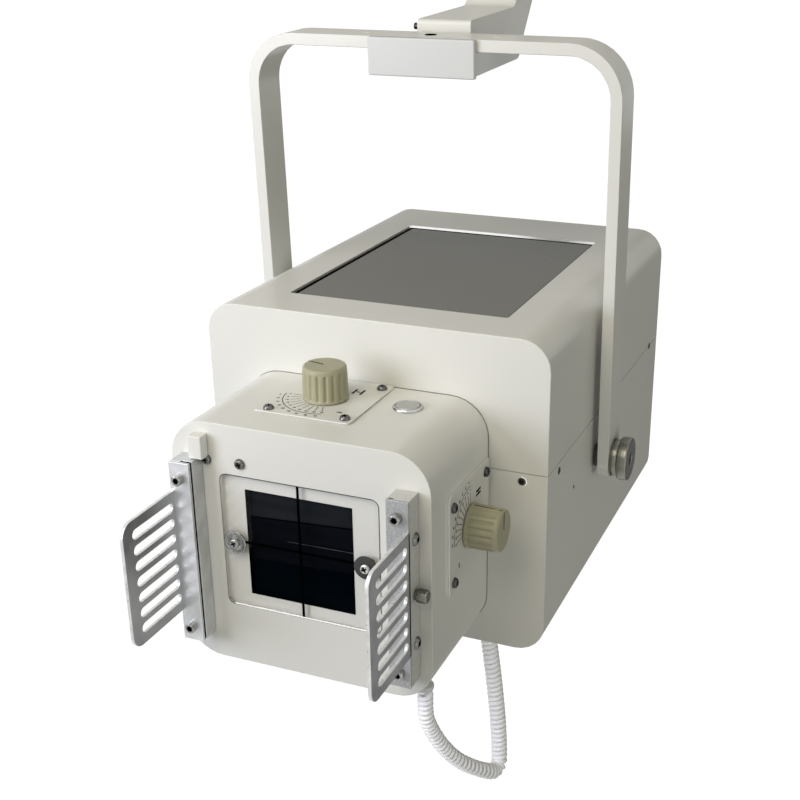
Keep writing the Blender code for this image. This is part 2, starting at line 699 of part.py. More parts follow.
def make_collimator():
    half = COLLIMATOR_WIDTH / 2
    wall = COLLIMATOR_WALL
    low, high = COLLIMATOR_BOTTOM, COLLIMATOR_TOP
    depth = COLLIMATOR_DEPTH - SEAT_GAP
    shape = rounded(box_corners((-half, low), (half, high), COLLIMATOR_CORNER_R), 8)
    shell = prism("collimator_housing", shape, depth)
    soften(shell, COLLIMATOR_EDGE_R, 3, lambda middle: middle.z < 0)
    place(shell, HEAD, "ivory_paint", (COLLIMATOR_CENTRE_X, -SEAT_GAP - depth / 2, 0), ALONG_Y)
    inside = rounded(
        box_corners((-half + wall, low + wall), (half - wall, high - wall), COLLIMATOR_CORNER_R - wall), 8
    )
    room = COLLIMATOR_DEPTH - COLLIMATOR_FRONT_WALL + PAST
    front_inside = -COLLIMATOR_DEPTH + COLLIMATOR_FRONT_WALL
    cavity = prism("collimator_cavity", inside, room)
    cut(shell, cavity, HEAD, (COLLIMATOR_CENTRE_X, front_inside + room / 2, 0), ALONG_Y)

    gap = PLATE_EDGE_GAP
    recess_deep = PLATE_THICK + PLATE_SET_BACK + SEAT_GAP
    recess = prism(
        "window_recess",
        rounded(box_corners((PLATE_LEFT - gap, PLATE_BOTTOM - gap), (PLATE_RIGHT + gap, PLATE_TOP + gap),
                            PLATE_CORNER_R + gap), 4),
        2 * recess_deep,
    )
    cut(shell, recess, HEAD, (0, -COLLIMATOR_DEPTH, 0), ALONG_Y)
    beam = block("beam_opening", (BEAM_OPENING, 2 * (COLLIMATOR_FRONT_WALL + PAST), BEAM_OPENING))
    cut(shell, beam, HEAD, (BEAM_CENTRE_X, -COLLIMATOR_DEPTH, BEAM_CENTRE_Z))

    plate = prism(
        "window_plate",
        rounded(box_corners((PLATE_LEFT, PLATE_BOTTOM), (PLATE_RIGHT, PLATE_TOP), PLATE_CORNER_R), 4),
        PLATE_THICK,
    )
    soften(plate, PLATE_EDGE, 1)
    plate_y = -COLLIMATOR_DEPTH + PLATE_SET_BACK + PLATE_THICK / 2
    place(plate, HEAD, "acrylic", (0, plate_y, 0), ALONG_Y)

    washer_y = -COLLIMATOR_DEPTH + PLATE_SET_BACK - SEAT_GAP
    thick = WINDOW_WASHER_THICK
    for side, sign in (("left", -1), ("right", 1)):
        washer = turned(
            f"window_washer_{side}",
            [(0, thick), (WINDOW_WASHER_R - WINDOW_WASHER_EDGE, thick),
             (WINDOW_WASHER_R, thick - WINDOW_WASHER_EDGE), (WINDOW_WASHER_R, 0), (0, 0)],
        )
        x = WINDOW_WASHER_CENTRE_X + sign * WINDOW_WASHER_OFFSET
        place(washer, HEAD, "chrome", (x, washer_y, WINDOW_WASHER_Z), ALONG_Y)

    make_leaves(front_inside)


def make_leaves(front_inside):
    """Two pairs of shutter leaves: one closes up and down, the other from the sides."""
    reach = BEAM_OPENING / 2 + LEAF_OVERLAP
    layers = {"high": front_inside + SEAT_GAP + LEAF_THICK / 2}
    layers["wide"] = layers["high"] + LEAF_THICK + SEAT_GAP
    leaves = (
        ("upper", "high", (0, 1), LEAF_GAP_HIGH),
        ("lower", "high", (0, -1), LEAF_GAP_HIGH),
        ("left", "wide", (-1, 0), LEAF_GAP_WIDE),
        ("right", "wide", (1, 0), LEAF_GAP_WIDE),
    )
    for name, layer, (sx, sz), gap in leaves:
        span = reach - gap / 2
        size = (span, LEAF_THICK, 2 * reach) if sx else (2 * reach, LEAF_THICK, span)
        leaf = block(f"shutter_leaf_{name}", size)
        shift = gap / 2 + span / 2
        spot = (BEAM_CENTRE_X + sx * shift, layers[layer], BEAM_CENTRE_Z + sz * shift)
        place(leaf, HEAD, "shutter_lead", spot)


def wing_outline():
    root = BRACKET_THICK
    return rounded([
        (0, WING_BOTTOM, 0),
        (root + WING_LENGTH, WING_BOTTOM, WING_CORNER_R),
        (root + WING_LENGTH, WING_TOP, WING_CORNER_R),
        (0, WING_TOP, 0),
    ])


def make_rails():
    front = -COLLIMATOR_DEPTH - SEAT_GAP
    height = RAIL_TOP - RAIL_BOTTOM
    middle_z = (RAIL_TOP + RAIL_BOTTOM) / 2
    flange_back = front - RAIL_DEPTH - SEAT_GAP
    flange_front = flange_back - BRACKET_THICK
    for side, sign in (("left", -1), ("right", 1)):
        x = COLLIMATOR_CENTRE_X + sign * RAIL_OFFSET
        rail = block(f"rail_{side}", (RAIL_WIDTH, RAIL_DEPTH, height))
        soften(rail, RAIL_EDGE, 1)
        place(rail, HEAD, "brushed_aluminium", (x, front - RAIL_DEPTH / 2, middle_z))
        slot = block(f"rail_slot_{side}", (2 * RAIL_SLOT_DEEP, 2 * RAIL_SLOT_WIDE, height + 2 * PAST))
        cut(rail, slot, HEAD, (x - sign * RAIL_WIDTH / 2, front - RAIL_DEPTH, middle_z))

        bracket = block(f"bracket_{side}", (RAIL_WIDTH, BRACKET_THICK, height))
        place(bracket, HEAD, "brushed_aluminium", (x, flange_back - BRACKET_THICK / 2, middle_z))
        outer = x + sign * RAIL_WIDTH / 2
        wing_x = outer - sign * BRACKET_THICK / 2
        wing = prism(f"wing_{side}", wing_outline(), BRACKET_THICK)
        turn = (math.pi / 2, 0, -math.pi / 2)
        cut(bracket, wing, HEAD, (wing_x, flange_back, 0), turn, "UNION")
        slot_start = BRACKET_THICK + WING_SLOT_MARGIN_ROOT
        slot_end = BRACKET_THICK + WING_LENGTH - WING_SLOT_MARGIN_TIP
        for i in range(WING_SLOTS):
            z = (WING_BOTTOM + WING_TOP) / 2 + (i - (WING_SLOTS - 1) / 2) * WING_SLOT_PITCH
            r = WING_SLOT_WIDTH / 2
            shape = arc((slot_end - r, z), r, -math.pi / 2, math.pi / 2, 8)
            shape += arc((slot_start + r, z), r, math.pi / 2, 3 * math.pi / 2, 8)
            hole = prism(f"wing_slot_{side}_{i}", shape, 4 * BRACKET_THICK)
            cut(bracket, hole, HEAD, (wing_x, flange_back, 0), turn)

    outer = COLLIMATOR_CENTRE_X + RAIL_OFFSET + RAIL_WIDTH / 2
    knurled = fluted(THUMBSCREW_R, THUMBSCREW_KNURL_DEPTH, THUMBSCREW_KNURLS)
    screw = prism("rail_thumbscrew", knurled, THUMBSCREW_LENGTH)
    soften(screw, THUMBSCREW_EDGE, 1)
    spot = (outer + SEAT_GAP + THUMBSCREW_LENGTH / 2, front - RAIL_DEPTH / 2, THUMBSCREW_Z)
    place(screw, HEAD, "dark_steel", spot, TURN_TO_X)

    stop = block("slot_stop_block", (STOP_BLOCK_WIDTH, STOP_BLOCK_DEPTH, STOP_BLOCK_HEIGHT))
    soften(stop, STOP_BLOCK_EDGE_R, 2)
    stop_x = COLLIMATOR_CENTRE_X - RAIL_OFFSET + STOP_BLOCK_INSET + STOP_BLOCK_WIDTH / 2
    place(stop, HEAD, "ivory_paint", (stop_x, front - STOP_BLOCK_DEPTH / 2,
                                      RAIL_TOP + SEAT_GAP + STOP_BLOCK_HEIGHT / 2))


def fluted(radius, depth, ribs):
    """Round outline with shallow grooves between flat ribs."""
    points = []
    for i in range(ribs):
        for part, inset in ((0.0, 0), (0.45, 0), (0.58, depth), (0.87, depth)):
            turn = 2 * math.pi * (i + part) / ribs
            points.append(((radius - inset) * math.cos(turn), (radius - inset) * math.sin(turn)))
    return points


def ribbed_knob(name):
    """Tapered knob with ribs, standing on local z = 0."""
    knob = prism(name, fluted(KNOB_BASE_R, KNOB_RIB_DEPTH, KNOB_RIBS), KNOB_HEIGHT)
    shrink = KNOB_TOP_R / KNOB_BASE_R
    for vert in knob.data.vertices:
        if vert.co.z > 0:
            vert.co.x *= shrink
            vert.co.y *= shrink
        vert.co.z += KNOB_HEIGHT / 2
    soften(knob, KNOB_EDGE_R, 2, lambda middle: middle.z < KNOB_HEIGHT * 0.9)
    return knob


def make_dials():
    for name, dial in (("top", TOP_DIAL), ("side", SIDE_DIAL)):
        outline = rounded(box_corners(dial["low"], dial["high"], DIAL_CORNER_R), 3)
        plate = prism(f"dial_plate_{name}", outline, DIAL_THICK)
        knob = ribbed_knob(f"dial_knob_{name}")
        rise = SEAT_GAP + DIAL_THICK / 2
        knob_rise = 2 * SEAT_GAP + DIAL_THICK
        if name == "top":
            place(plate, HEAD, "dial_plate", (0, 0, COLLIMATOR_TOP + rise))
            place(knob, HEAD, "olive_plastic", (*dial["knob"], COLLIMATOR_TOP + knob_rise))
        else:
            place(plate, HEAD, "dial_plate", (COLLIMATOR_SIDE + rise, 0, 0), ALONG_X)
            place(knob, HEAD, "olive_plastic", (COLLIMATOR_SIDE + knob_rise, *dial["knob"]), TURN_TO_X)


def make_button():
    base = COLLIMATOR_TOP + SEAT_GAP
    inner = BUTTON_CAP_R + BUTTON_EDGE_GAP
    ring = turned(
        "light_button_ring",
        [(inner, 0), (inner, BUTTON_RING_RISE), (BUTTON_RING_R - BUTTON_EDGE, BUTTON_RING_RISE),
         (BUTTON_RING_R, BUTTON_RING_RISE - BUTTON_EDGE), (BUTTON_RING_R, 0), (inner, 0)],
    )
    place(ring, HEAD, "chrome", (*BUTTON_AT, base))
    cap = turned(
        "light_button_cap",
        [(0, BUTTON_CAP_RISE), (BUTTON_CAP_R - BUTTON_EDGE, BUTTON_CAP_RISE - BUTTON_DOME),
         (BUTTON_CAP_R, BUTTON_CAP_RISE - BUTTON_EDGE), (BUTTON_CAP_R, 0), (0, 0)],
    )
    place(cap, HEAD, "brushed_aluminium", (*BUTTON_AT, base))


def smooth_route(first, points, last, spacing):
    """Catmull-Rom curve through the points, read at even steps, between two straight ends."""
    guide = [first, *points, last]
    fine = []
    for a, b, c, d in zip(guide, guide[1:], guide[2:], guide[3:]):
        for step in range(20):
            t = step / 20
            fine.append(
                0.5 * (2 * b + (c - a) * t + (2 * a - 5 * b + 4 * c - d) * t * t
                       + (3 * b - a - 3 * c + d) * t ** 3)
            )
    fine.append(points[-1])
    lengths = [0.0]
    for a, b in zip(fine, fine[1:]):
        lengths.append(lengths[-1] + (b - a).length)
    count = max(2, round(lengths[-1] / spacing))
    route, at = [], 0
    for i in range(count + 1):
        target = lengths[-1] * i / count
        while at < len(fine) - 2 and lengths[at + 1] < target:
            at += 1
        part = (target - lengths[at]) / (lengths[at + 1] - lengths[at])
        route.append(fine[at].lerp(fine[at + 1], min(1.0, part)))
    return [first, *route, last]


def make_lead():
    glands = (
        ("front", COLLIMATOR_SIDE - FRONT_GLAND_INSET, FRONT_GLAND_Y, COLLIMATOR_BOTTOM),
        ("rear", HOUSING_WIDTH / 2 - REAR_GLAND_INSET, REAR_GLAND_Y, 0.0),
    )
    tips = []
    for name, x, y, under in glands:
        top = under - SEAT_GAP
        gland = turned(
            f"lead_gland_{name}",
            [(0, 0), (GLAND_R, 0), (GLAND_R, -GLAND_LENGTH / 2), (GLAND_TIP_R, -GLAND_LENGTH),
             (0, -GLAND_LENGTH)],
            24,
        )
        place(gland, HEAD, "white_lead", (x, y, top))
        tips.append(Vector((x, y, top - GLAND_LENGTH - SEAT_GAP)))
    straight = Vector((0, 0, -LEAD_OUTER_R))
    route = [tips[0] + straight, *[Vector(p) for p in LEAD_ROUTE], tips[1] + straight]
    curve = bpy.data.curves.new("curly_lead", "CURVE")
    curve.dimensions = "3D"
    curve.bevel_depth = LEAD_OUTER_R
    curve.bevel_resolution = 3
    curve.use_fill_caps = True
    spline = curve.splines.new("POLY")
    points = smooth_route(tips[0], route, tips[1], LEAD_POINT_SPACING)
    spline.points.add(len(points) - 1)
    for point, co in zip(spline.points, points):
        point.co = (*co, 1)
    lead = bpy.data.objects.new("curly_lead", curve)
    place(lead, HEAD, "white_lead")


def make_rear_panel():
    half = PANEL_WIDTH / 2
    low, high = PANEL_CENTRE_Z - PANEL_HEIGHT / 2, PANEL_CENTRE_Z + PANEL_HEIGHT / 2
    outline = rounded(box_corners((-half, low), (half, high), PANEL_CORNER_R), 3)
    panel = prism("rear_panel", outline, PANEL_THICK)
    soften(panel, PANEL_EDGE, 1)
    place(panel, HEAD, "brushed_aluminium", (0, PANEL_FACE - PANEL_THICK / 2, 0), ALONG_Y)
    seat = PANEL_FACE + SEAT_GAP

    inlet = block("mains_inlet", (INLET_WIDTH, INLET_RISE, INLET_HEIGHT))
    soften(inlet, FITTING_EDGE_R, 2)
    place(inlet, HEAD, "black_plastic", (INLET_X, seat + INLET_RISE / 2, PANEL_CENTRE_Z))
    well = block("inlet_well", (INLET_WIDTH * 0.8, 2 * INLET_WELL, INLET_HEIGHT * 0.7))
    cut(inlet, well, HEAD, (INLET_X, seat + INLET_RISE, PANEL_CENTRE_Z))

    switch = block("power_switch", (SWITCH_WIDTH, SWITCH_RISE, SWITCH_HEIGHT))
    soften(switch, FITTING_EDGE_R, 2)
    place(switch, HEAD, "black_plastic", (SWITCH_X, seat + SWITCH_RISE / 2, PANEL_CENTRE_Z))
    dish = rod("rocker_dish", ROCKER_R, SWITCH_WIDTH * 0.8, 48)
    dish_y = seat + SWITCH_RISE - ROCKER_DIP + ROCKER_R
    cut(switch, dish, HEAD, (SWITCH_X, dish_y, PANEL_CENTRE_Z), TURN_TO_X)

    jack = turned(
        "hand_switch_socket",
        [(0, JACK_FLOOR), (JACK_HOLE_R, JACK_FLOOR), (JACK_HOLE_R, JACK_RISE),
         (JACK_R - JACK_EDGE, JACK_RISE), (JACK_R, JACK_RISE - JACK_EDGE), (JACK_R, 0), (0, 0)],
    )
    place(jack, HEAD, "chrome", (JACK_X, seat, PANEL_CENTRE_Z), (-math.pi / 2, 0, 0))


def make_feet():
    x = HOUSING_WIDTH / 2 - FOOT_INSET_X
    rows = (("front", FOOT_INSET_Y), ("back", HOUSING_DEPTH - FOOT_INSET_Y))
    for row, y in rows:
        for side, sign in (("left", -1), ("right", 1)):
            foot = turned(
                f"foot_{row}_{side}",
                [(0, 0), (FOOT_R, 0), (FOOT_TIP_R, -FOOT_HEIGHT), (0, -FOOT_HEIGHT)],
                24,
            )
            place(foot, HEAD, "rubber", (sign * x, y, -SEAT_GAP))


make_arm()
make_carrier()
make_yoke()
make_pivots()
make_housing()
make_collimator()
make_rails()
make_dials()
make_button()
make_lead()
make_rear_panel()
make_feet()
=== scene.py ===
"""Dresses the portable x-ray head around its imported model.

Each operator makes or finishes one group of pieces: the stage, the coiled lead, the housing, the
collimator and what is fitted to it, the yoke with its arm, and the back. Lengths are in metres.
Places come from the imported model's nodes. A point written as head(x, y, z) is in the housing's own
frame: x = 0 in its middle, y = 0 on its front and z = 0 on its underside.
"""

import json
import math

import bmesh
import bpy
from mathutils import Matrix, Vector


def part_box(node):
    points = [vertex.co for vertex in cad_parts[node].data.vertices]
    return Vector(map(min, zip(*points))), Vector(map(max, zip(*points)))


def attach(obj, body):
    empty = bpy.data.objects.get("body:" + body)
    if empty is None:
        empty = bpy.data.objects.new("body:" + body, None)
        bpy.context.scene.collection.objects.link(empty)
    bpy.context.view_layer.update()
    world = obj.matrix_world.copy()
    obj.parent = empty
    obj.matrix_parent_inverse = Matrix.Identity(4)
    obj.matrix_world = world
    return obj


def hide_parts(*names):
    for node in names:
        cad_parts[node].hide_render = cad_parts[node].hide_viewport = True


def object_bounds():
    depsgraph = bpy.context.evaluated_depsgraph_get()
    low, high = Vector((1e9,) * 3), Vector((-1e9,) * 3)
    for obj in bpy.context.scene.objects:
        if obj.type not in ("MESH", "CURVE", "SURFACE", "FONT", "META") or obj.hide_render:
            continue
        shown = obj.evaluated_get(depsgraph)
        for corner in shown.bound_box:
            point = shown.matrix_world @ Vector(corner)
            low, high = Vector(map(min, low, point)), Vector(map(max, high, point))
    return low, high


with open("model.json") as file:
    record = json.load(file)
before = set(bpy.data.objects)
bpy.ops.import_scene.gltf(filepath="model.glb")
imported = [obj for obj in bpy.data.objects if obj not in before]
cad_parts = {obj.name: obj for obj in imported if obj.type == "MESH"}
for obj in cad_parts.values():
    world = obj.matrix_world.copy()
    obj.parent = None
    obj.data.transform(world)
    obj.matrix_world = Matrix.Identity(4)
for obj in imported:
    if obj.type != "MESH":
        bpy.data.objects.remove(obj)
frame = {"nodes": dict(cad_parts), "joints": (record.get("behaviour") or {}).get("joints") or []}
CAD_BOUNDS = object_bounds()

bl_info = {
    "name": "Portable X-ray Head",
    "version": (1, 0, 0),
    "blender": (4, 5, 0),
    "location": "View3D > Sidebar > X-ray Head",
    "description": "Finishes, fittings, dials and coiled lead for the packed x-ray head",
    "category": "Object",
}

HOUSING_LOW, HOUSING_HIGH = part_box("housing_lower")
HEAD_AT = Vector(((HOUSING_LOW.x + HOUSING_HIGH.x) / 2, HOUSING_LOW.y, HOUSING_LOW.z))
TILT_AT = Vector(frame["joints"][0]["pos_m"])
YOKE_LEAN = math.radians(1.95)
YOKE_FRAME = Matrix.Translation(TILT_AT) @ Matrix.Rotation(YOKE_LEAN, 4, "X")

COLLIMATOR_LOW, COLLIMATOR_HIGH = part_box("collimator_housing")
PLATE_LOW, PLATE_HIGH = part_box("window_plate")

MERGE = 1e-5
SAME_POINT = 1e-7
FLAT = math.radians(0.5)
SMOOTH_BELOW = math.radians(50)
FULL_TURN = 2 * math.pi

# Steps of a round shape: large, of a plug, of a screw head, and of one rounded corner
FINE_STEPS = 64
PLUG_STEPS = 32
SMALL_STEPS = 24
CORNER_STEPS = 8

# Gap that keeps two faces out of one plane, and depth that a head or plug goes into its face
HAIR = 0.00005
SEAT_DEPTH = 0.0002

# Rise of a pan head as a share of its radius, and the painted shade disc that darkens the floor of a recess
PAN_RISE = 0.68
PAN_SHADE_BELOW = 0.04
SHADE_SHARE = 0.94
SHADE_THICK = 0.00006

# Turns that stand a shape, made upright on local z, on a face that looks along the named axis
FACING_FRONT = Matrix.Rotation(math.pi / 2, 4, "X")
FACING_BACK = Matrix.Rotation(-math.pi / 2, 4, "X")
FACING_RIGHT = Matrix.Rotation(math.pi / 2, 4, "Y")
FACING_LEFT = Matrix.Rotation(-math.pi / 2, 4, "Y")
UPRIGHT = Matrix.Identity(4)

# Turns for a flat shape seen from the side: its local y is up, and its x runs forward or back
FORWARD_AND_UP = Matrix(((0, 0, -1, 0), (-1, 0, 0, 0), (0, 1, 0, 0), (0, 0, 0, 1)))
BACK_AND_UP = Matrix(((0, 0, 1, 0), (1, 0, 0, 0), (0, 1, 0, 0), (0, 0, 0, 1)))

# Each side's name, its sign along x and the turn that stands a shape on it
SIDES = (("left", -1, FACING_LEFT), ("right", 1, FACING_RIGHT))


def head(x, y, z):
    return HEAD_AT + Vector((x, y, z))


# Camera fitted to the photograph, which is 800 pixels square
IMAGE_SIDE = 800
CAMERA_AT = Vector((0.3287, -0.97898, -0.0057))
CAMERA_AHEAD = Vector((-0.33709, 0.86189, -0.37883))
SENSOR = 36.0
FOCAL_PIXELS = 1245.44
AXIS_PIXEL = (456.6, 418.69)

# Middle line of the coiled lead, in the housing's frame
LEAD_ROUTE = [
    (0.0672, -0.0740, -0.0150),
    (0.0682, -0.0660, -0.0320),
    (0.0718, -0.0560, -0.0504),
    (0.0764, -0.0420, -0.0693),
    (0.0807, -0.0260, -0.0855),
    (0.0845, -0.0085, -0.1005),
    (0.0864, 0.0040, -0.1090),
    (0.0872, 0.0125, -0.1075),
    (0.0864, 0.0150, -0.0960),
    (0.0850, 0.0155, -0.0740),
    (0.0824, 0.0160, -0.0493),
    (0.0800, 0.0160, -0.0290),
]


class XrayStage(bpy.types.PropertyGroup):
    key_power: bpy.props.FloatProperty(
        name="Key light", description="Power of the large lamp at the front left", default=7.3, unit="POWER")
    top_power: bpy.props.FloatProperty(
        name="Top light", description="Power of the wide lamp overhead", default=4.9, unit="POWER")
    lead_power: bpy.props.FloatProperty(
        name="Lead light", description="Power of the lamp that lights the coiled lead alone", default=5.0,
        unit="POWER")
    fill_power: bpy.props.FloatProperty(
        name="Fill light", description="Power of the soft lamp low on the right", default=7.0, unit="POWER")
    ambient: bpy.props.FloatProperty(
        name="Ambient", description="Strength of the room's even light", default=0.18, min=0.0)
    floor_drop: bpy.props.FloatProperty(
        name="Floor drop", description="How far below the head the floor lies", default=0.9, unit="LENGTH")
    floor_size: bpy.props.FloatProperty(
        name="Floor size", description="Side of the square floor", default=80.0, unit="LENGTH")


class XrayColours(bpy.types.PropertyGroup):
    ivory: bpy.props.FloatVectorProperty(
        name="Ivory", description="Enamel of the housing, collimator and yoke",
        default=(0.79, 0.79, 0.755), subtype="COLOR")
    olive: bpy.props.FloatVectorProperty(
        name="Olive", description="Satin plastic of the dial knobs",
        default=(0.39, 0.375, 0.25), subtype="COLOR")
    aluminium: bpy.props.FloatVectorProperty(
        name="Aluminium", description="Brushed rails and brackets",
        default=(0.60, 0.61, 0.62), subtype="COLOR")
    sleeve: bpy.props.FloatVectorProperty(
        name="Lead sleeve", description="White sleeve of the coiled lead",
        default=(0.93, 0.93, 0.94), subtype="COLOR")


class XrayFittings(bpy.types.PropertyGroup):
    wire_radius: bpy.props.FloatProperty(
        name="Wire radius", description="Half the thickness of the coiled lead's wire",
        default=0.00168, unit="LENGTH")
    coil_pitch: bpy.props.FloatProperty(
        name="Coil pitch", description="Distance from one turn of the lead to the next",
        default=0.0038, unit="LENGTH")
    pan_radius: bpy.props.FloatProperty(
        name="Pan head radius", description="Cross-recess screws of the collimator and dials",
        default=0.0034, unit="LENGTH")
    cap_radius: bpy.props.FloatProperty(
        name="Cap head radius", description="Socket screws that hold the brackets",
        default=0.0035, unit="LENGTH")
    cap_height: bpy.props.FloatProperty(
        name="Cap head height", description="How far the bracket screws stand out",
        default=0.0042, unit="LENGTH")
    print_rise: bpy.props.FloatProperty(
        name="Print thickness", description="How far printed marks stand above their plate",
        default=0.00006, unit="LENGTH")
    digit_height: bpy.props.FloatProperty(
        name="Digit height", description="Height of the numbers on the dials",
        default=0.0026, unit="LENGTH")


def stage_settings():
    return bpy.context.scene.xray_stage


def colours():
    return bpy.context.scene.xray_colours


def fittings():
    return bpy.context.scene.xray_fittings


# Finishes


def new_finish(name, colour, roughness, metallic=0.0, fixed=None):
    material = bpy.data.materials.new(name)
    material.use_nodes = True
    shader = material.node_tree.nodes["Principled BSDF"]
    shader.inputs["Base Color"].default_value = (*colour, 1.0)
    shader.inputs["Roughness"].default_value = roughness
    shader.inputs["Metallic"].default_value = metallic
    for socket, value in (fixed or {}).items():
        shader.inputs[socket].default_value = value
    return material


def shader_of(material):
    return material.node_tree.nodes["Principled BSDF"]


def grain(material, scale, detail=3.0, stretch=(1.0, 1.0, 1.0)):
    """Noise with about scale features a metre, on the piece's own coordinates."""
    nodes, links = material.node_tree.nodes, material.node_tree.links
    where = nodes.new("ShaderNodeTexCoord")
    mapping = nodes.new("ShaderNodeMapping")
    mapping.inputs["Scale"].default_value = stretch
    noise = nodes.new("ShaderNodeTexNoise")
    noise.inputs["Scale"].default_value = scale
    noise.inputs["Detail"].default_value = detail
    links.new(where.outputs["Object"], mapping.inputs["Vector"])
    links.new(mapping.outputs["Vector"], noise.inputs["Vector"])
    return noise.outputs["Fac"]


def tint(material, source, low, high):
    """Colour that drifts from low to high with the source."""
    nodes, links = material.node_tree.nodes, material.node_tree.links
    ramp = nodes.new("ShaderNodeValToRGB")
    first, last = ramp.color_ramp.elements
    first.position, first.color = 0.35, (*low, 1.0)
    last.position, last.color = 0.65, (*high, 1.0)
    links.new(source, ramp.inputs["Fac"])
    links.new(ramp.outputs["Color"], shader_of(material).inputs["Base Color"])


def drift(colour, amount):
    return [tuple(channel * (1 + sign * amount) for channel in colour) for sign in (-1, 1)]


def dimmed(colour, share):
    return tuple(channel * share for channel in colour)


def worked_out(tree, operation, first, second):
    """Math node on two values, each a number or another node's socket."""
    node = tree.nodes.new("ShaderNodeMath")
    node.operation = operation
    for socket, value in zip(node.inputs, (first, second)):
        if isinstance(value, float):
            socket.default_value = value
        else:
            tree.links.new(value, socket)
    return node.outputs["Value"]


def vary_gloss(material, source, low, high):
    vary(material, source, low, high, shader_of(material).inputs["Roughness"])


def vary(material, source, low, high, socket):
    """Drives the socket from low to high with the source."""
    nodes, links = material.node_tree.nodes, material.node_tree.links
    spread = nodes.new("ShaderNodeMapRange")
    spread.inputs["From Min"].default_value = 0.3
    spread.inputs["From Max"].default_value = 0.7
    spread.inputs["To Min"].default_value = low
    spread.inputs["To Max"].default_value = high
    links.new(source, spread.inputs["Value"])
    links.new(spread.outputs["Result"], socket)


def relief(material, source, height):
    """Bump whose waves are height deep."""
    nodes, links = material.node_tree.nodes, material.node_tree.links
    bump = nodes.new("ShaderNodeBump")
    bump.inputs["Strength"].default_value = 1.0
    bump.inputs["Distance"].default_value = height
    links.new(source, bump.inputs["Height"])
    links.new(bump.outputs["Normal"], shader_of(material).inputs["Normal"])


def enamel(name, shade):
    """Semi-gloss powder enamel with a faint orange peel."""
    material = new_finish(name, shade, 0.42, fixed={"Coat Weight": 0.25, "Coat Roughness": 0.18})
    tint(material, grain(material, 7.0, 2.0), *drift(shade, 0.012))
    vary_gloss(material, grain(material, 30.0), 0.40, 0.48)
    relief(material, grain(material, 1100.0, 1.0), 0.000012)
    return material


def ivory_enamel():
    """Enamel of the housing, collimator, yoke and arm."""
    return enamel("ivory_enamel", colours().ivory)


def carrier_enamel():
    """The same enamel on the yoke's carrier, a little darker and greyer."""
    grey = (0.84, 0.855, 0.90)
    return enamel("carrier_enamel", tuple(part * share for part, share in zip(colours().ivory, grey)))


def filler_paint():
    """Lighter paint over the filled holes in the yoke bar."""
    shade = (0.86, 0.86, 0.82)
    material = new_finish("filler_paint", shade, 0.4)
    tint(material, grain(material, 300.0), *drift(shade, 0.03))
    relief(material, grain(material, 1500.0, 1.0), 0.000015)
    return material


def dial_enamel():
    """Satin ivory plate under the printed scale."""
    shade = dimmed(colours().ivory, 0.97)
    material = new_finish("dial_enamel", shade, 0.38)
    tint(material, grain(material, 25.0), *drift(shade, 0.015))
    relief(material, grain(material, 1600.0, 1.0), 0.000006)
    return material


def touch_glass():
    """Dark touch glass with an anti-glare face."""
    shade = (0.200, 0.203, 0.190)
    material = new_finish("touch_glass", shade, 0.26, fixed={"IOR": 1.2})
    tint(material, grain(material, 5.0, 1.0), *drift(shade, 0.03))
    vary_gloss(material, grain(material, 12.0, 1.0), 0.25, 0.28)
    return material


def moulded_black():
    """Matt black moulding with a fine grain."""
    material = new_finish("moulded_black", (0.022, 0.022, 0.022), 0.45)
    tint(material, grain(material, 60.0), (0.018, 0.018, 0.018), (0.030, 0.030, 0.029))
    relief(material, grain(material, 2500.0, 2.0), 0.000012)
    return material


def print_ink():
    """Matt black screen print."""
    material = new_finish("print_ink", (0.001, 0.001, 0.0015), 0.8, fixed={"Specular IOR Level": 0.0})
    tint(material, grain(material, 900.0), (0.0005, 0.0005, 0.001), (0.0015, 0.0015, 0.002))
    return material


def polished_lip():
    """Painted highlight: a near-white mirror finish on the cut edge behind the screen, on the side dial
    plate's edges and on the rings round the front screws.
    """
    shade = (0.97, 0.97, 0.96)
    material = new_finish("polished_lip", shade, 0.2, metallic=0.9)
    tint(material, grain(material, 60.0), *drift(shade, 0.02))
    vary_gloss(material, grain(material, 200.0), 0.18, 0.26)
    return material


def clear_acrylic():
    """Polished clear plate: what lies behind shows through it, under a sharp reflection."""
    material = new_finish("clear_acrylic", (1.0, 1.0, 1.0), 0.02)
    nodes, links = material.node_tree.nodes, material.node_tree.links
    nodes.remove(shader_of(material))
    clear = nodes.new("ShaderNodeBsdfTransparent")
    gloss = nodes.new("ShaderNodeBsdfAnisotropic")
    edge_on = nodes.new("ShaderNodeFresnel")
    edge_on.inputs["IOR"].default_value = 1.36
    inside = nodes.new("ShaderNodeNewGeometry")
    outside = worked_out(material.node_tree, "SUBTRACT", 1.0, inside.outputs["Backfacing"])
    share = worked_out(material.node_tree, "MULTIPLY", edge_on.outputs["Fac"], outside)
    mix = nodes.new("ShaderNodeMixShader")
    links.new(share, mix.inputs["Fac"])
    links.new(clear.outputs["BSDF"], mix.inputs[1])
    links.new(gloss.outputs["BSDF"], mix.inputs[2])
    links.new(mix.outputs["Shader"], nodes["Material Output"].inputs["Surface"])
    vary(material, grain(material, 90.0), 0.01, 0.035, gloss.inputs["Roughness"])
    return material


def acrylic_edge():
    """Painted shade: a dark ring standing for the sawn side of the clear plate and the shadowed gap round it.
    """
    material = new_finish("acrylic_edge", (0.06, 0.06, 0.055), 0.6)
    tint(material, grain(material, 700.0), (0.04, 0.04, 0.037), (0.08, 0.08, 0.075))
    return material


def rolled_sheet(name, shade, specular, low, high):
    """Blackened sheet with a trace of its rolling lines."""
    material = new_finish(name, shade, 0.5, fixed={"Specular IOR Level": specular})
    tint(material, grain(material, 40.0, 3.0, (0.2, 1.0, 3.0)), low, high)
    return material


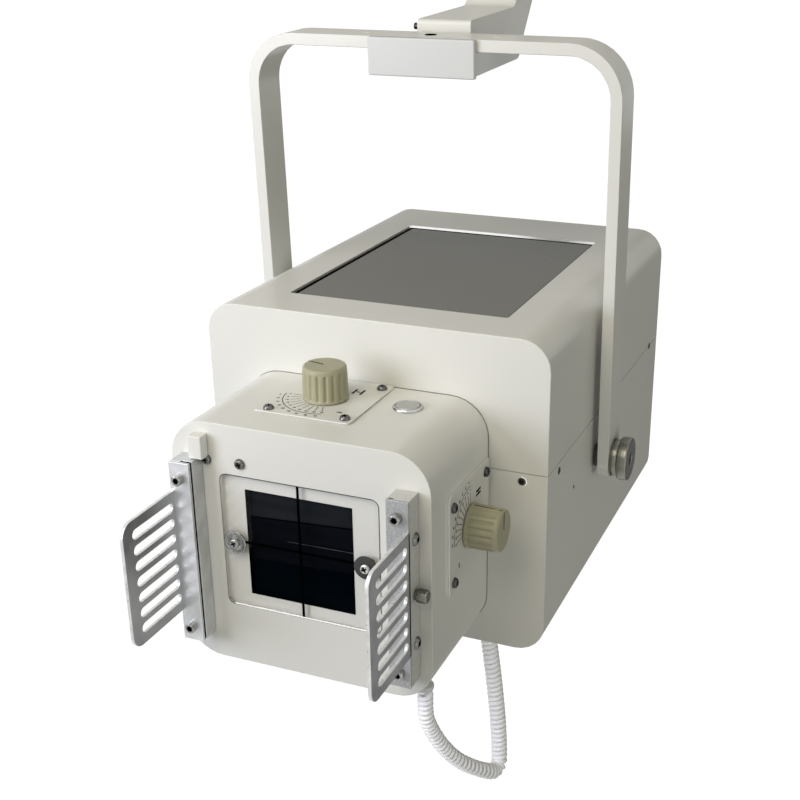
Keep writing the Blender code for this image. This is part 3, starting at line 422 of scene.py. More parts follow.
def leaf_sheet():
    """The upper leaf of the shutter, lighter than the others as a painted reflection of what lies above it.
    """
    return rolled_sheet(
        "leaf_sheet", (0.008, 0.010, 0.013), 0.08, (0.006, 0.008, 0.011), (0.011, 0.013, 0.017))


def leaf_sheet_worn():
    """The lower and side leaves, painted darker as painted shade; also the dark sheets round and behind the
    beam opening.
    """
    return rolled_sheet(
        "leaf_sheet_worn", (0.001, 0.002, 0.004), 0.0, (0.0008, 0.002, 0.004), (0.002, 0.004, 0.006))


def blade_blue():
    """Blued inner blade that shows between the leaves."""
    return rolled_sheet(
        "blade_blue", (0.0045, 0.0058, 0.0085), 0.0, (0.0036, 0.0048, 0.0074), (0.0054, 0.0066, 0.0096))


def blade_bright():
    """Painted highlight along the edge of the inner blade."""
    material = new_finish("blade_bright", (0.05, 0.052, 0.06), 0.4)
    tint(material, grain(material, 60.0), (0.008, 0.009, 0.012), (0.05, 0.052, 0.06))
    return material


def plated_steel():
    """Bright zinc plating, a little clouded."""
    material = new_finish("plated_steel", (0.30, 0.30, 0.29), 0.2, 0.85)
    tint(material, grain(material, 500.0), (0.24, 0.24, 0.23), (0.36, 0.36, 0.35))
    vary_gloss(material, grain(material, 700.0), 0.14, 0.28)
    return material


def sheared_edge():
    """Cut edge of the brackets' sheet, made bright as a painted highlight."""
    material = new_finish("sheared_edge", (0.78, 0.78, 0.78), 0.3, 0.5)
    tint(material, grain(material, 200.0), (0.70, 0.70, 0.70), (0.84, 0.84, 0.84))
    vary_gloss(material, grain(material, 150.0), 0.25, 0.38)
    return material


def polished_acrylic():
    """Painted highlight: a white mirror wedge along the foot of the clear plate, which mirrors the floor."""
    material = new_finish("polished_acrylic", (0.97, 0.97, 0.97), 0.08, 1.0)
    tint(material, grain(material, 300.0), (0.93, 0.93, 0.93), (0.99, 0.99, 0.99))
    return material


def brushed_plate():
    """Rolled and brushed plate: fine lines along the height and soft cloudy gloss."""
    shade = colours().aluminium
    material = new_finish("brushed_plate", shade, 0.45, 1.0)
    tint(material, grain(material, 60.0, 5.0), *drift(shade, 0.09))
    vary_gloss(material, grain(material, 70.0, 3.0), 0.32, 0.55)
    relief(material, grain(material, 2200.0, 2.0, (1.0, 1.0, 0.3)), 0.00001)
    return material


def dull_aluminium():
    """Darker, mottled aluminium of the right bracket's flange."""
    shade = dimmed(colours().aluminium, 0.66)
    material = new_finish("dull_aluminium", shade, 0.5, 0.4)
    tint(material, grain(material, 1100.0, 4.0), *drift(shade, 0.2))
    vary_gloss(material, grain(material, 700.0, 4.0), 0.42, 0.58)
    relief(material, grain(material, 1800.0, 2.0), 0.00001)
    return material


def rail_satin():
    """Satin anodised bar of the right rail."""
    material = new_finish("rail_satin", (0.60, 0.60, 0.58), 0.45, 0.1)
    tint(material, grain(material, 300.0), (0.57, 0.57, 0.55), (0.63, 0.63, 0.61))
    relief(material, grain(material, 2200.0, 2.0, (1.0, 1.0, 0.3)), 0.000008)
    return material


def wing_aluminium():
    """The brackets' wings, satin grey from the press."""
    shade = dimmed(colours().aluminium, 0.62)
    material = new_finish("wing_aluminium", shade, 0.4, 1.0)
    tint(material, grain(material, 60.0, 4.0), *drift(shade, 0.05))
    vary_gloss(material, grain(material, 90.0, 3.0), 0.34, 0.46)
    relief(material, grain(material, 2600.0, 2.0, (1.0, 0.06, 1.0)), 0.000006)
    return material


def bright_chrome():
    """Plated ring, sockets and small screws."""
    material = new_finish("bright_chrome", (0.50, 0.50, 0.49), 0.16, 1.0)
    tint(material, grain(material, 400.0), (0.45, 0.45, 0.44), (0.54, 0.54, 0.53))
    vary_gloss(material, grain(material, 500.0), 0.12, 0.22)
    return material


def screw_steel():
    """Dull plated screw head, dark in its recess."""
    material = new_finish("screw_steel", (0.13, 0.13, 0.125), 0.2, 1.0)
    tint(material, grain(material, 500.0), (0.10, 0.10, 0.096), (0.16, 0.16, 0.154))
    vary_gloss(material, grain(material, 700.0), 0.14, 0.28)
    return material


def button_silver():
    """Matt plated cap of the push button."""
    shade = (0.45, 0.455, 0.44)
    material = new_finish("button_silver", shade, 0.42, 0.6)
    tint(material, grain(material, 120.0), *drift(shade, 0.02))
    relief(material, grain(material, 4000.0, 1.0), 0.000004)
    return material


def turned_steel():
    """Dull turned steel of the clamp discs and thumbscrew."""
    material = new_finish("turned_steel", (0.175, 0.17, 0.145), 0.26, 1.0)
    tint(material, grain(material, 150.0), (0.155, 0.15, 0.128), (0.195, 0.19, 0.162))
    vary_gloss(material, grain(material, 300.0, 3.0, (6.0, 0.6, 0.6)), 0.2, 0.34)
    return material


def dark_screw():
    """Black-oxide screw head; on the side dial it is also painted shade."""
    material = new_finish("dark_screw", (0.055, 0.055, 0.052), 0.28, 1.0)
    tint(material, grain(material, 500.0), (0.04, 0.04, 0.038), (0.07, 0.07, 0.067))
    vary_gloss(material, grain(material, 800.0), 0.22, 0.36)
    return material


def olive_satin():
    """Olive-beige satin plastic of the knobs."""
    shade = colours().olive
    material = new_finish("olive_satin", shade, 0.42)
    tint(material, grain(material, 80.0), *drift(shade, 0.03))
    vary_gloss(material, grain(material, 200.0), 0.38, 0.48)
    relief(material, grain(material, 2500.0, 1.0), 0.000006)
    return material


def white_sleeve():
    """Smooth glossy sleeve of the lead, with slight handling marks."""
    shade = colours().sleeve
    material = new_finish("white_sleeve", shade, 0.30)
    tint(material, grain(material, 60.0), *drift(shade, 0.015))
    vary_gloss(material, grain(material, 250.0), 0.26, 0.36)
    return material


def soft_rubber():
    """Black rubber of the feet, the gasket and the right washer."""
    material = new_finish("soft_rubber", (0.03, 0.03, 0.03), 0.75)
    tint(material, grain(material, 120.0), (0.024, 0.024, 0.024), (0.038, 0.038, 0.037))
    relief(material, grain(material, 3000.0, 2.0), 0.00002)
    return material


def bare_tank():
    """Plain steel of the tank, shut inside the housing."""
    material = new_finish("bare_tank", (0.33, 0.34, 0.35), 0.5, 0.8)
    tint(material, grain(material, 40.0), (0.30, 0.31, 0.32), (0.36, 0.37, 0.38))
    return material


FINISH_MAKERS = (
    ivory_enamel, carrier_enamel, filler_paint, dial_enamel, touch_glass, moulded_black, print_ink,
    clear_acrylic, acrylic_edge, polished_acrylic, polished_lip, leaf_sheet, leaf_sheet_worn, blade_blue,
    blade_bright, brushed_plate, dull_aluminium, rail_satin, wing_aluminium, sheared_edge, bright_chrome,
    screw_steel, plated_steel, button_silver, turned_steel, dark_screw, olive_satin, white_sleeve,
    soft_rubber, bare_tank,
)


def finish(name):
    """The finish of this name, made when it is first asked for."""
    made = bpy.data.materials.get(name)
    if made is None:
        made = next(maker for maker in FINISH_MAKERS if maker.__name__ == name)()
    return made


# Shapes


def copy_of(node):
    """The node's shape with its loose triangles joined into whole faces."""
    bm = bmesh.new()
    bm.from_mesh(frame["nodes"][node].data)
    bmesh.ops.remove_doubles(bm, verts=bm.verts, dist=MERGE)
    bmesh.ops.dissolve_limit(bm, angle_limit=FLAT, verts=bm.verts, edges=bm.edges)
    return bm


def turned(profile, steps=FINE_STEPS):
    """Shape spun about local z from (radius, height) points."""
    bm = bmesh.new()
    verts = [bm.verts.new((radius, 0.0, height)) for radius, height in profile]
    edges = [bm.edges.new(pair) for pair in zip(verts, verts[1:])]
    bmesh.ops.spin(
        bm, geom=verts + edges, axis=(0, 0, 1), cent=(0, 0, 0), angle=FULL_TURN, steps=steps, use_merge=True)
    bmesh.ops.remove_doubles(bm, verts=bm.verts, dist=SAME_POINT)
    bmesh.ops.recalc_face_normals(bm, faces=bm.faces)
    return bm


def ring_edges(bm, points, height):
    """Closed ring of edges through (x, y) points."""
    verts = [bm.verts.new((x, y, height)) for x, y in points]
    return [bm.edges.new((a, b)) for a, b in zip(verts, verts[1:] + verts[:1])]


def only(kind, items):
    return [item for item in items if isinstance(item, kind)]


def turned_points(points, turn):
    c, s = math.cos(turn), math.sin(turn)
    return [(x * c - y * s, x * s + y * c) for x, y in points]


def cross_recess(radius):
    """Outline of a cross-head driver's recess."""
    wide, reach = 0.14 * radius, 0.55 * radius
    arm = [(reach, -wide), (reach, wide), (wide, wide)]
    return [point for quarter in range(4) for point in turned_points(arm, quarter * math.pi / 2)]


def hex_recess(radius):
    """Outline of a hexagon key's recess."""
    corner = [(0.55 * radius, 0.0)]
    return [point for side in range(6) for point in turned_points(corner, side * math.pi / 3)]


def stadium(low, high, wide, steps=CORNER_STEPS):
    """Slot outline from x = low to x = high, with round ends."""
    r = wide / 2
    ends = ((high - r, -math.pi / 2), (low + r, math.pi / 2))
    return [
        (centre + r * math.cos(start + math.pi * i / steps), r * math.sin(start + math.pi * i / steps))
        for centre, start in ends for i in range(steps + 1)
    ]


def socketed(profile, recess, depth, steps=SMALL_STEPS):
    """Turned head whose profile stops at the edge of its flat top, where a recess goes down."""
    bm = turned(profile, steps)
    top = profile[-1][1]
    rim = [edge for edge in bm.edges if all(abs(v.co.z - top) < SAME_POINT for v in edge.verts)]
    mouth = ring_edges(bm, recess, top)
    bmesh.ops.triangle_fill(bm, use_beauty=True, edges=rim + mouth)
    down = bmesh.ops.extrude_edge_only(bm, edges=mouth)["geom"]
    floor = only(bmesh.types.BMVert, down)
    bmesh.ops.translate(bm, verts=floor, vec=(0, 0, -depth))
    base = [edge for edge in only(bmesh.types.BMEdge, down) if all(v in floor for v in edge.verts)]
    bmesh.ops.triangle_fill(bm, use_beauty=True, edges=base)
    bmesh.ops.recalc_face_normals(bm, faces=bm.faces)
    return bm


def pan_head(radius):
    """Domed cross-recess head."""
    rise = PAN_RISE * radius
    return socketed(
        [(radius, 0), (radius, 0.25 * rise), (0.93 * radius, 0.62 * rise), (0.8 * radius, 0.88 * rise),
         (0.66 * radius, rise)],
        cross_recess(radius), 0.5 * rise)


def pan_shade(radius):
    return recess_shade(cross_recess(radius), (PAN_RISE - PAN_SHADE_BELOW) * radius)


def cap_recess(radius):
    return hex_recess(1.1 * radius)


def cap_head(radius, height):
    """Cylindrical socket head."""
    edge = 0.12 * radius
    side = [(radius, 0), (radius, height - edge), (radius - edge, height)]
    return socketed(side, cap_recess(radius), 0.6 * height)


def button_head(radius, rise):
    """Low domed socket head."""
    dome = [(radius * math.cos(turn), rise * math.sin(turn)) for turn in (0.0, 0.35, 0.7, 1.0)]
    return socketed([(radius, -SEAT_DEPTH), *dome], hex_recess(0.8 * radius), 0.7 * rise)


def recess_shade(recess, height):
    """Painted shade: a dark disc set just inside a driver's recess, standing in for the shadow that hides its
    floor.
    """
    shade = sheet_metal([(SHADE_SHARE * x, SHADE_SHARE * y) for x, y in recess], (), SHADE_THICK)
    bmesh.ops.translate(shade, verts=shade.verts, vec=(0, 0, height))
    return shade


def sheet_metal(outline, holes, thick):
    """Flat plate on local xy with holes through it, centred on z = 0."""
    bm = bmesh.new()
    edges = [edge for points in (outline, *holes) for edge in ring_edges(bm, points, -thick / 2)]
    bmesh.ops.triangle_fill(bm, use_beauty=True, edges=edges)
    up = bmesh.ops.extrude_face_region(bm, geom=bm.faces[:])["geom"]
    bmesh.ops.translate(bm, verts=only(bmesh.types.BMVert, up), vec=(0, 0, thick))
    bmesh.ops.recalc_face_normals(bm, faces=bm.faces)
    return bm


def rounded_corners(corners, steps=CORNER_STEPS):
    """Outline through (x, y, radius) corners, the round ones turned into arcs."""
    points = []
    for i, (x, y, radius) in enumerate(corners):
        here = Vector((x, y))
        if not radius:
            points.append((x, y))
            continue
        back = (Vector(corners[i - 1][:2]) - here).normalized()
        ahead = (Vector(corners[(i + 1) % len(corners)][:2]) - here).normalized()
        centre = here + (back + ahead) * radius
        points += [
            tuple(centre - ahead * radius * math.cos(turn) - back * radius * math.sin(turn))
            for turn in (math.pi / 2 * step / steps for step in range(steps + 1))
        ]
    return points


def box(size, centre=(0, 0, 0)):
    bm = bmesh.new()
    bmesh.ops.create_cube(bm, size=1.0, matrix=Matrix.Translation(centre) @ Matrix.Diagonal((*size, 1.0)))
    return bm


def as_mesh(name, bm):
    """The shape as a mesh, which ends it as a bmesh."""
    mesh = bpy.data.meshes.new(name)
    bm.to_mesh(mesh)
    bm.free()
    return mesh


def in_scene(name, data):
    """Object that shows the data in the scene."""
    item = bpy.data.objects.new(name, data)
    bpy.context.scene.collection.objects.link(item)
    return item


def ease(bm, width, segments=2):
    """Rounds every edge sharper than SMOOTH_BELOW."""
    sharp = [edge for edge in bm.edges if edge.is_manifold and edge.calc_face_angle(0.0) > SMOOTH_BELOW]
    bmesh.ops.bevel(
        bm, geom=sharp, offset=width, offset_type="OFFSET", segments=segments, profile=0.5,
        affect="EDGES", clamp_overlap=True, material=-1)
    return bm


def stamp(bm, part, places):
    """Adds a copy of the small shape at each place."""
    mesh = as_mesh("stamp", part)
    for place in places:
        copy = mesh.copy()
        copy.transform(place)
        bm.from_mesh(copy)
        bpy.data.meshes.remove(copy)
    bpy.data.meshes.remove(mesh)
    return bm


def joined(*parts):
    """One shape from several, each given as (shape, place)."""
    bm = bmesh.new()
    for part, place in parts:
        stamp(bm, part, [place])
    return bm


def add_piece(name, bm, paint, body, stands_for=(), place=None):
    """Finishes the shape as a piece: moved to its place, shaded, painted and carried by its body."""
    if place is not None:
        bmesh.ops.transform(bm, matrix=place, verts=bm.verts)
    mesh = as_mesh(name, bm)
    mesh.materials.append(finish(paint))
    mesh.shade_smooth()
    mesh.set_sharp_from_angle(angle=SMOOTH_BELOW)
    piece = in_scene(name, mesh)
    weigh = piece.modifiers.new("Flat faces stay flat", "WEIGHTED_NORMAL")
    weigh.keep_sharp = True
    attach(piece, body)
    if stands_for:
        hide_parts(*stands_for)
    return piece


def dress(node, paint, body="head", eased=0.0):
    """The node's own shape with smooth shading and its real finish."""
    bm = copy_of(node)
    if eased:
        ease(bm, eased)
    return add_piece(f"{node}_finished", bm, paint, body, [node])


def add_print(name, bm, body="head", place=None):
    """Printed marks, and painted shade and shadow, as black as the dials' ink."""
    return add_piece(name, bm, "print_ink", body, place=place)


def add_pan_screws(screws, shades, radius, places, metal):
    """Cross-recess screws at each place, and painted shade discs that darken their recesses."""
    add_piece(screws, stamp(bmesh.new(), pan_head(radius), places), metal, "head")
    add_print(shades, stamp(bmesh.new(), pan_shade(radius), places))


def paint_node(node, paint):
    """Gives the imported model's own piece its real finish."""
    mesh = frame["nodes"][node].data
    mesh.materials.clear()
    mesh.materials.append(finish(paint))


def at(place, turn=UPRIGHT):
    return Matrix.Translation(place) @ turn


class XRAY_OT_stage(bpy.types.Operator):
    """Sets the floor, the lamps, the white background and the camera"""

    bl_idname = "xray.stage"
    bl_label = "Stage"

    # Each lamp's direction from the part's middle, its distance, diameter and colour
    LAMPS = {
        "key": ((-0.60, -0.75, 0.22), 1.15, 0.65, (0.86, 0.885, 1.0)),
        "top": ((-0.15, -0.75, 0.75), 1.07, 0.7, (1.0, 0.935, 0.78)),
        "fill": ((0.80, -0.45, -0.10), 2.4, 1.8, (1.0, 0.98, 0.88)),
        "lead": ((0.12, -0.88, 0.32), 1.3, 0.35, (0.95, 0.96, 1.0)),
    }
    # Each card's direction from the window, its distance, side and strength
    CARDS = {
        "dark": ((-0.434, -0.767, -0.472), 1.0, 0.26, 0.0),
        "back": ((-0.31, 1.485, 0.23), 1.53, 1.0, 0.5),
        "grey": ((0.26, 0.85, -0.42), 1.1, 1.2, 0.22),
    }
    CARD_UNSEEN_BY = ("camera", "diffuse", "transmission", "shadow", "volume_scatter")
    ROOM = (1.0, 0.985, 0.86, 1.0)
    WHITE = (1.0, 1.0, 1.0, 1.0)
    FLOOR_GLOW = 0.9

    def execute(self, context):
        settings = stage_settings()
        self.add_floor(settings)
        self.add_world(context, settings.ambient)
        for name, lamp in self.LAMPS.items():
            self.add_lamp(f"{name}_lamp", *lamp, getattr(settings, f"{name}_power"))
        for name, card in self.CARDS.items():
            self.add_card(f"{name}_card", *card)
        self.add_camera(context)
        context.scene.view_settings.view_transform = "Standard"
        return {"FINISHED"}

    def add_floor(self, settings):
        bm = bmesh.new()
        bmesh.ops.create_grid(bm, x_segments=1, y_segments=1, size=settings.floor_size / 2)
        mesh = as_mesh("floor", bm)
        mesh.transform(Matrix.Translation((0, 0, CAD_BOUNDS[0].z - settings.floor_drop)))
        floor = in_scene("floor", mesh)
        material = new_finish("pale_floor", (0.62, 0.62, 0.61), 0.9)
        tint(material, grain(material, 1.5), (0.61, 0.61, 0.60), (0.63, 0.63, 0.62))
        shader = shader_of(material)
        shader.inputs["Emission Color"].default_value = self.WHITE
        glow = self.seen_rays(material.node_tree, self.FLOOR_GLOW)
        material.node_tree.links.new(glow, shader.inputs["Emission Strength"])
        mesh.materials.append(material)

    def seen_rays(self, tree, strength):
        """Strength for the rays that show the background: from the camera, off gloss and through glass."""
        path = tree.nodes.new("ShaderNodeLightPath")
        either = worked_out(tree, "MAXIMUM", path.outputs["Is Camera Ray"], path.outputs["Is Glossy Ray"])
        any_of = worked_out(tree, "MAXIMUM", either, path.outputs["Is Transmission Ray"])
        return worked_out(tree, "MULTIPLY", any_of, strength)

    def add_world(self, context, ambient):
        world = bpy.data.worlds.new("studio")
        world.use_nodes = True
        nodes, links = world.node_tree.nodes, world.node_tree.links
        room = nodes["Background"]
        room.inputs["Color"].default_value = self.ROOM
        room.inputs["Strength"].default_value = ambient
        white = nodes.new("ShaderNodeBackground")
        white.inputs["Color"].default_value = self.WHITE
        white.inputs["Strength"].default_value = 1.0
        mix = nodes.new("ShaderNodeMixShader")
        links.new(self.seen_rays(world.node_tree, 1.0), mix.inputs["Fac"])
        links.new(room.outputs["Background"], mix.inputs[1])
        links.new(white.outputs["Background"], mix.inputs[2])
        links.new(mix.outputs["Shader"], nodes["World Output"].inputs["Surface"])
        context.scene.world = world

    def add_lamp(self, name, toward, distance, size, colour, power):
        lamp = bpy.data.lights.new(name, "AREA")
        lamp.shape = "DISK"
        lamp.size = size
        lamp.energy = power
        lamp.color = colour
        item = in_scene(name, lamp)
        direction = Vector(toward).normalized()
        item.location = (CAD_BOUNDS[0] + CAD_BOUNDS[1]) / 2 + direction * distance
        item.rotation_euler = direction.to_track_quat("Z", "Y").to_euler()

    def add_card(self, name, toward, distance, size, strength):
        """Card that only gloss can see, as a studio hangs one to keep glass dark and shape metal."""
        direction = Vector(toward).normalized()
        middle = (PLATE_LOW + PLATE_HIGH) / 2
        facing = direction.to_track_quat("Z", "Y").to_matrix().to_4x4()
        bm = bmesh.new()
        bmesh.ops.create_grid(
            bm, x_segments=1, y_segments=1, size=size / 2, matrix=at(middle + direction * distance, facing))
        mesh = as_mesh(name, bm)
        mesh.materials.append(new_finish(name, (0.0, 0.0, 0.0), 1.0, fixed={
            "Specular IOR Level": 0.0, "Emission Color": self.WHITE, "Emission Strength": strength}))
        card = in_scene(name, mesh)
        for ray in self.CARD_UNSEEN_BY:
            setattr(card, f"visible_{ray}", False)

    def add_camera(self, context):
        camera = bpy.data.cameras.new("camera")
        camera.sensor_width = SENSOR
        camera.lens = SENSOR * FOCAL_PIXELS / IMAGE_SIDE
        camera.shift_x = 0.5 - AXIS_PIXEL[0] / IMAGE_SIDE
        camera.shift_y = AXIS_PIXEL[1] / IMAGE_SIDE - 0.5
        item = in_scene("camera", camera)
        item.location = CAMERA_AT
        item.rotation_euler = CAMERA_AHEAD.to_track_quat("-Z", "Y").to_euler()
        context.scene.camera = item


class XRAY_OT_lead(bpy.types.Operator):
    """Winds the coiled lead along its route between the two glands"""

    bl_idname = "xray.lead"
    bl_label = "Coiled lead"

    TURN_POINTS = 14
    FINE_POINTS = 40
    SHORTEST_STEP = 1e-9
    COIL_RADIUS = 0.0053
    # How far the lead leaves each gland straight, and over how much of its pitch the coil closes in there
    STRAIGHT = 0.0053
    CLOSING = 0.4
    GLAND_EASE = 0.0006
    # How far the turns are drawn apart, as (share of the route, times the pitch)
    STRETCH = (
        (0.0, 1.05), (0.22, 1.1), (0.32, 1.45), (0.40, 1.65), (0.52, 1.65), (0.57, 1.2), (0.62, 1.0),
        (1.0, 1.0))
    # How much wider it is wound, as (share of the route, times the radius)
    WIDEN = ((0.0, 1.0), (0.35, 1.03), (0.52, 1.14), (0.66, 1.18), (1.0, 1.18))

    def execute(self, context):
        tip, end = self.mouth("lead_gland_front"), self.mouth("lead_gland_rear")
        wire = fittings().wire_radius
        route = self.smooth(tip, [head(*point) for point in LEAD_ROUTE], end)
        line = self.wind(route, self.COIL_RADIUS - wire, fittings().coil_pitch)
        lead = in_scene("coiled_lead", self.wire_along(line, wire))
        self.light_alone(lead)
        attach(lead, "head")
        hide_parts("curly_lead")
        glands = [dress(f"lead_gland_{place}", "white_sleeve", eased=self.GLAND_EASE)
                  for place in ("front", "rear")]
        return {"FINISHED"}

    def mouth(self, gland):
        """Middle of the gland's lower end, where the lead comes out."""
        low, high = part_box(gland)
        return Vector(((low.x + high.x) / 2, (low.y + high.y) / 2, low.z))

    def wire_along(self, line, radius):
        curve = bpy.data.curves.new("coiled_lead", "CURVE")
        curve.dimensions = "3D"
        curve.bevel_depth = radius
        curve.bevel_resolution = 2
        curve.use_fill_caps = True
        spline = curve.splines.new("POLY")
        spline.points.add(len(line) - 1)
        for point, co in zip(spline.points, line):
            point.co = (*co, 1.0)
        spline.use_smooth = True
        curve.materials.append(finish("white_sleeve"))
        return curve

    def light_alone(self, lead):
        """Keeps the lead's own lamp to the lead."""
        alone = bpy.data.collections.new("lead_alone")
        alone.objects.link(lead)
        lamp = bpy.data.objects["lead_lamp"]
        lamp.light_linking.receiver_collection = alone
        lamp.light_linking.blocker_collection = alone

    def smooth(self, tip, points, end):
        """Catmull-Rom curve through the route, straight out of each gland."""
        drop = Vector((0, 0, -self.STRAIGHT))
        guide = [tip - drop, tip, tip + drop, *points, end + drop, end, end - drop]
        line = []
        for a, b, c, d in zip(guide, guide[1:], guide[2:], guide[3:]):
            for step in range(self.FINE_POINTS):
                t = step / self.FINE_POINTS
                line.append(0.5 * (
                    2 * b + (c - a) * t + (2 * a - 5 * b + 4 * c - d) * t ** 2
                    + (3 * b - a - 3 * c + d) * t ** 3))
        return [*line, end]

    def between(self, steps, share):
        """Value of the (share, value) steps at this share of the route."""
        for (start, low), (end, high) in zip(steps, steps[1:]):
            if share <= end:
                return low + (high - low) * (share - start) / (end - start)
        return steps[-1][1]

    def wind(self, route, radius, pitch):
        """Helix round the route, closing in to its middle at both ends."""
        lengths = [0.0]
        for a, b in zip(route, route[1:]):
            lengths.append(lengths[-1] + (b - a).length)
        total = lengths[-1]
        alongs = [0.0]
        while alongs[-1] < total:
            stretch = self.between(self.STRETCH, alongs[-1] / total)
            alongs.append(alongs[-1] + pitch * stretch / self.TURN_POINTS)
        fit = total / alongs[-1]
        closing = self.CLOSING * pitch
        side = Vector((1, 0, 0))
        line, spot = [], 0
        for i, along in enumerate(alongs):
            along *= fit
            while spot < len(route) - 2 and lengths[spot + 1] < along:
                spot += 1
            step = route[spot + 1] - route[spot]
            gone = (along - lengths[spot]) / max(step.length, self.SHORTEST_STEP)
            centre = route[spot] + step * min(1.0, gone)
            ahead = step.normalized()
            side = (side - ahead * side.dot(ahead)).normalized()
            across = ahead.cross(side)
            ramp = min(1.0, along / closing, (total - along) / closing)
            turn = FULL_TURN * i / self.TURN_POINTS
            reach = radius * ramp * self.between(self.WIDEN, min(1.0, along / total))
            line.append(centre + (side * math.cos(turn) + across * math.sin(turn)) * reach)
        return line


class XRAY_OT_housing(bpy.types.Operator):
    """Finishes the housing's two shells, the touch screen and the screws round them"""

    bl_idname = "xray.housing"
    bl_label = "Housing and screen"

    # Screws on the front as (across, up) and on each side as (back, up), in the housing's frame
    FRONT_SCREWS = [(0.1042, 0.1250), (-0.1042, 0.1250)]
    SIDE_SCREWS = [(0.0246, 0.1252), (0.2767, 0.1308)]
    SIDE_PINS = [(0.0617, 0.0972)]
    SCREW_RADIUS, SCREW_RISE = 0.0027, 0.0006
    PIN_RADIUS, PIN_RISE = 0.0014, 0.0004
    RING_INNER, RING_OUTER = 0.0028, 0.0035
    # Where the black edge round the glass starts, and its narrow printed sides and its wide sides, which add
    # painted shadow
    BORDER_INSET = 0.0003
    BORDER = (0.0003, 0.0026)
    # The chamfer's width, how far from the glass its edge may lie, and how far forward a face must look to
    # take the painted highlight
    LIP = 0.0015
    RECESS_REACH = 0.0015
    LIP_SLOPE = -0.5

    def execute(self, context):
        dress("housing_lower", "ivory_enamel")
        self.add_upper_shell()
        dress("screen_glass", "touch_glass")
        self.add_screen_border()
        paint_node("screen_frame", "moulded_black")
        paint_node("xray_tank", "bare_tank")
        self.add_screws()
        return {"FINISHED"}

    def add_upper_shell(self):
        """The upper shell, with a small chamfer along the back of the screen's recess, whose forward faces
        carry a painted highlight.
        """
        shell = copy_of("housing_upper")
        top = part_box("housing_upper")[1].z
        low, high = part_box("screen_glass")
        reach = self.RECESS_REACH
        lip = [edge for edge in shell.edges if all(
            abs(vert.co.z - top) < MERGE and low.x - reach < vert.co.x < high.x + reach
            and high.y - reach < vert.co.y < high.y + reach for vert in edge.verts)]
        if not lip:
            raise RuntimeError("the screen's recess has no edge to chamfer")
        cut = bmesh.ops.bevel(
            shell, geom=lip, offset=self.LIP, offset_type="OFFSET", segments=1, profile=0.5,
            affect="EDGES", clamp_overlap=False, material=-1)
        # Chamfer faces that look forward take the painted highlight
        for face in cut["faces"]:
            face.material_index = int(face.normal.y < self.LIP_SLOPE)
        piece = add_piece(
            "housing_upper_finished", shell, "ivory_enamel", "head", ["housing_upper"])
        piece.data.materials.append(finish("polished_lip"))

    def add_screen_border(self):
        """Black edge round the glass: a narrow printed border, widened at the back and on the left into the
        painted shadow of the recess's walls.
        """
        low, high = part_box("screen_glass")
        rise, inset = fittings().print_rise, self.BORDER_INSET
        across, along = (high.x - low.x) / 2 - inset, (high.y - low.y) / 2 - inset
        outline = [(-across, -along), (across, -along), (across, along), (-across, along)]
        inner = [(x - math.copysign(self.BORDER[x < 0], x), y - math.copysign(self.BORDER[y > 0], y))
                 for x, y in outline]
        print_and_shadow = sheet_metal(outline, [inner], rise)
        middle = ((low.x + high.x) / 2, (low.y + high.y) / 2, high.z + rise / 2)
        add_print("screen_border", print_and_shadow, place=at(middle))

    def add_screws(self):
        half = (HOUSING_HIGH.x - HOUSING_LOW.x) / 2
        front = [at(head(x, 0, z), FACING_FRONT) for x, z in self.FRONT_SCREWS]
        sides, pins = (
            [at(head(sign * half, y, z), turn) for _, sign, turn in SIDES for y, z in spots]
            for spots in (self.SIDE_SCREWS, self.SIDE_PINS))
        heads = stamp(bmesh.new(), button_head(self.SCREW_RADIUS, self.SCREW_RISE), [*front, *sides])
        stamp(heads, button_head(self.PIN_RADIUS, self.PIN_RISE), pins)
        add_piece("housing_screws", heads, "dark_screw", "head")
        # Rings round the front screws, in the near-white mirror finish of a painted highlight
        inner, outer = self.RING_INNER, self.RING_OUTER
        ring = turned([(inner, -SEAT_DEPTH), (outer, -SEAT_DEPTH), (outer - 0.0001, 0.0002),
                       (inner + 0.0001, 0.0003), (inner, -SEAT_DEPTH)])
        add_piece("housing_screw_rings", stamp(bmesh.new(), ring, front), "polished_lip", "head")


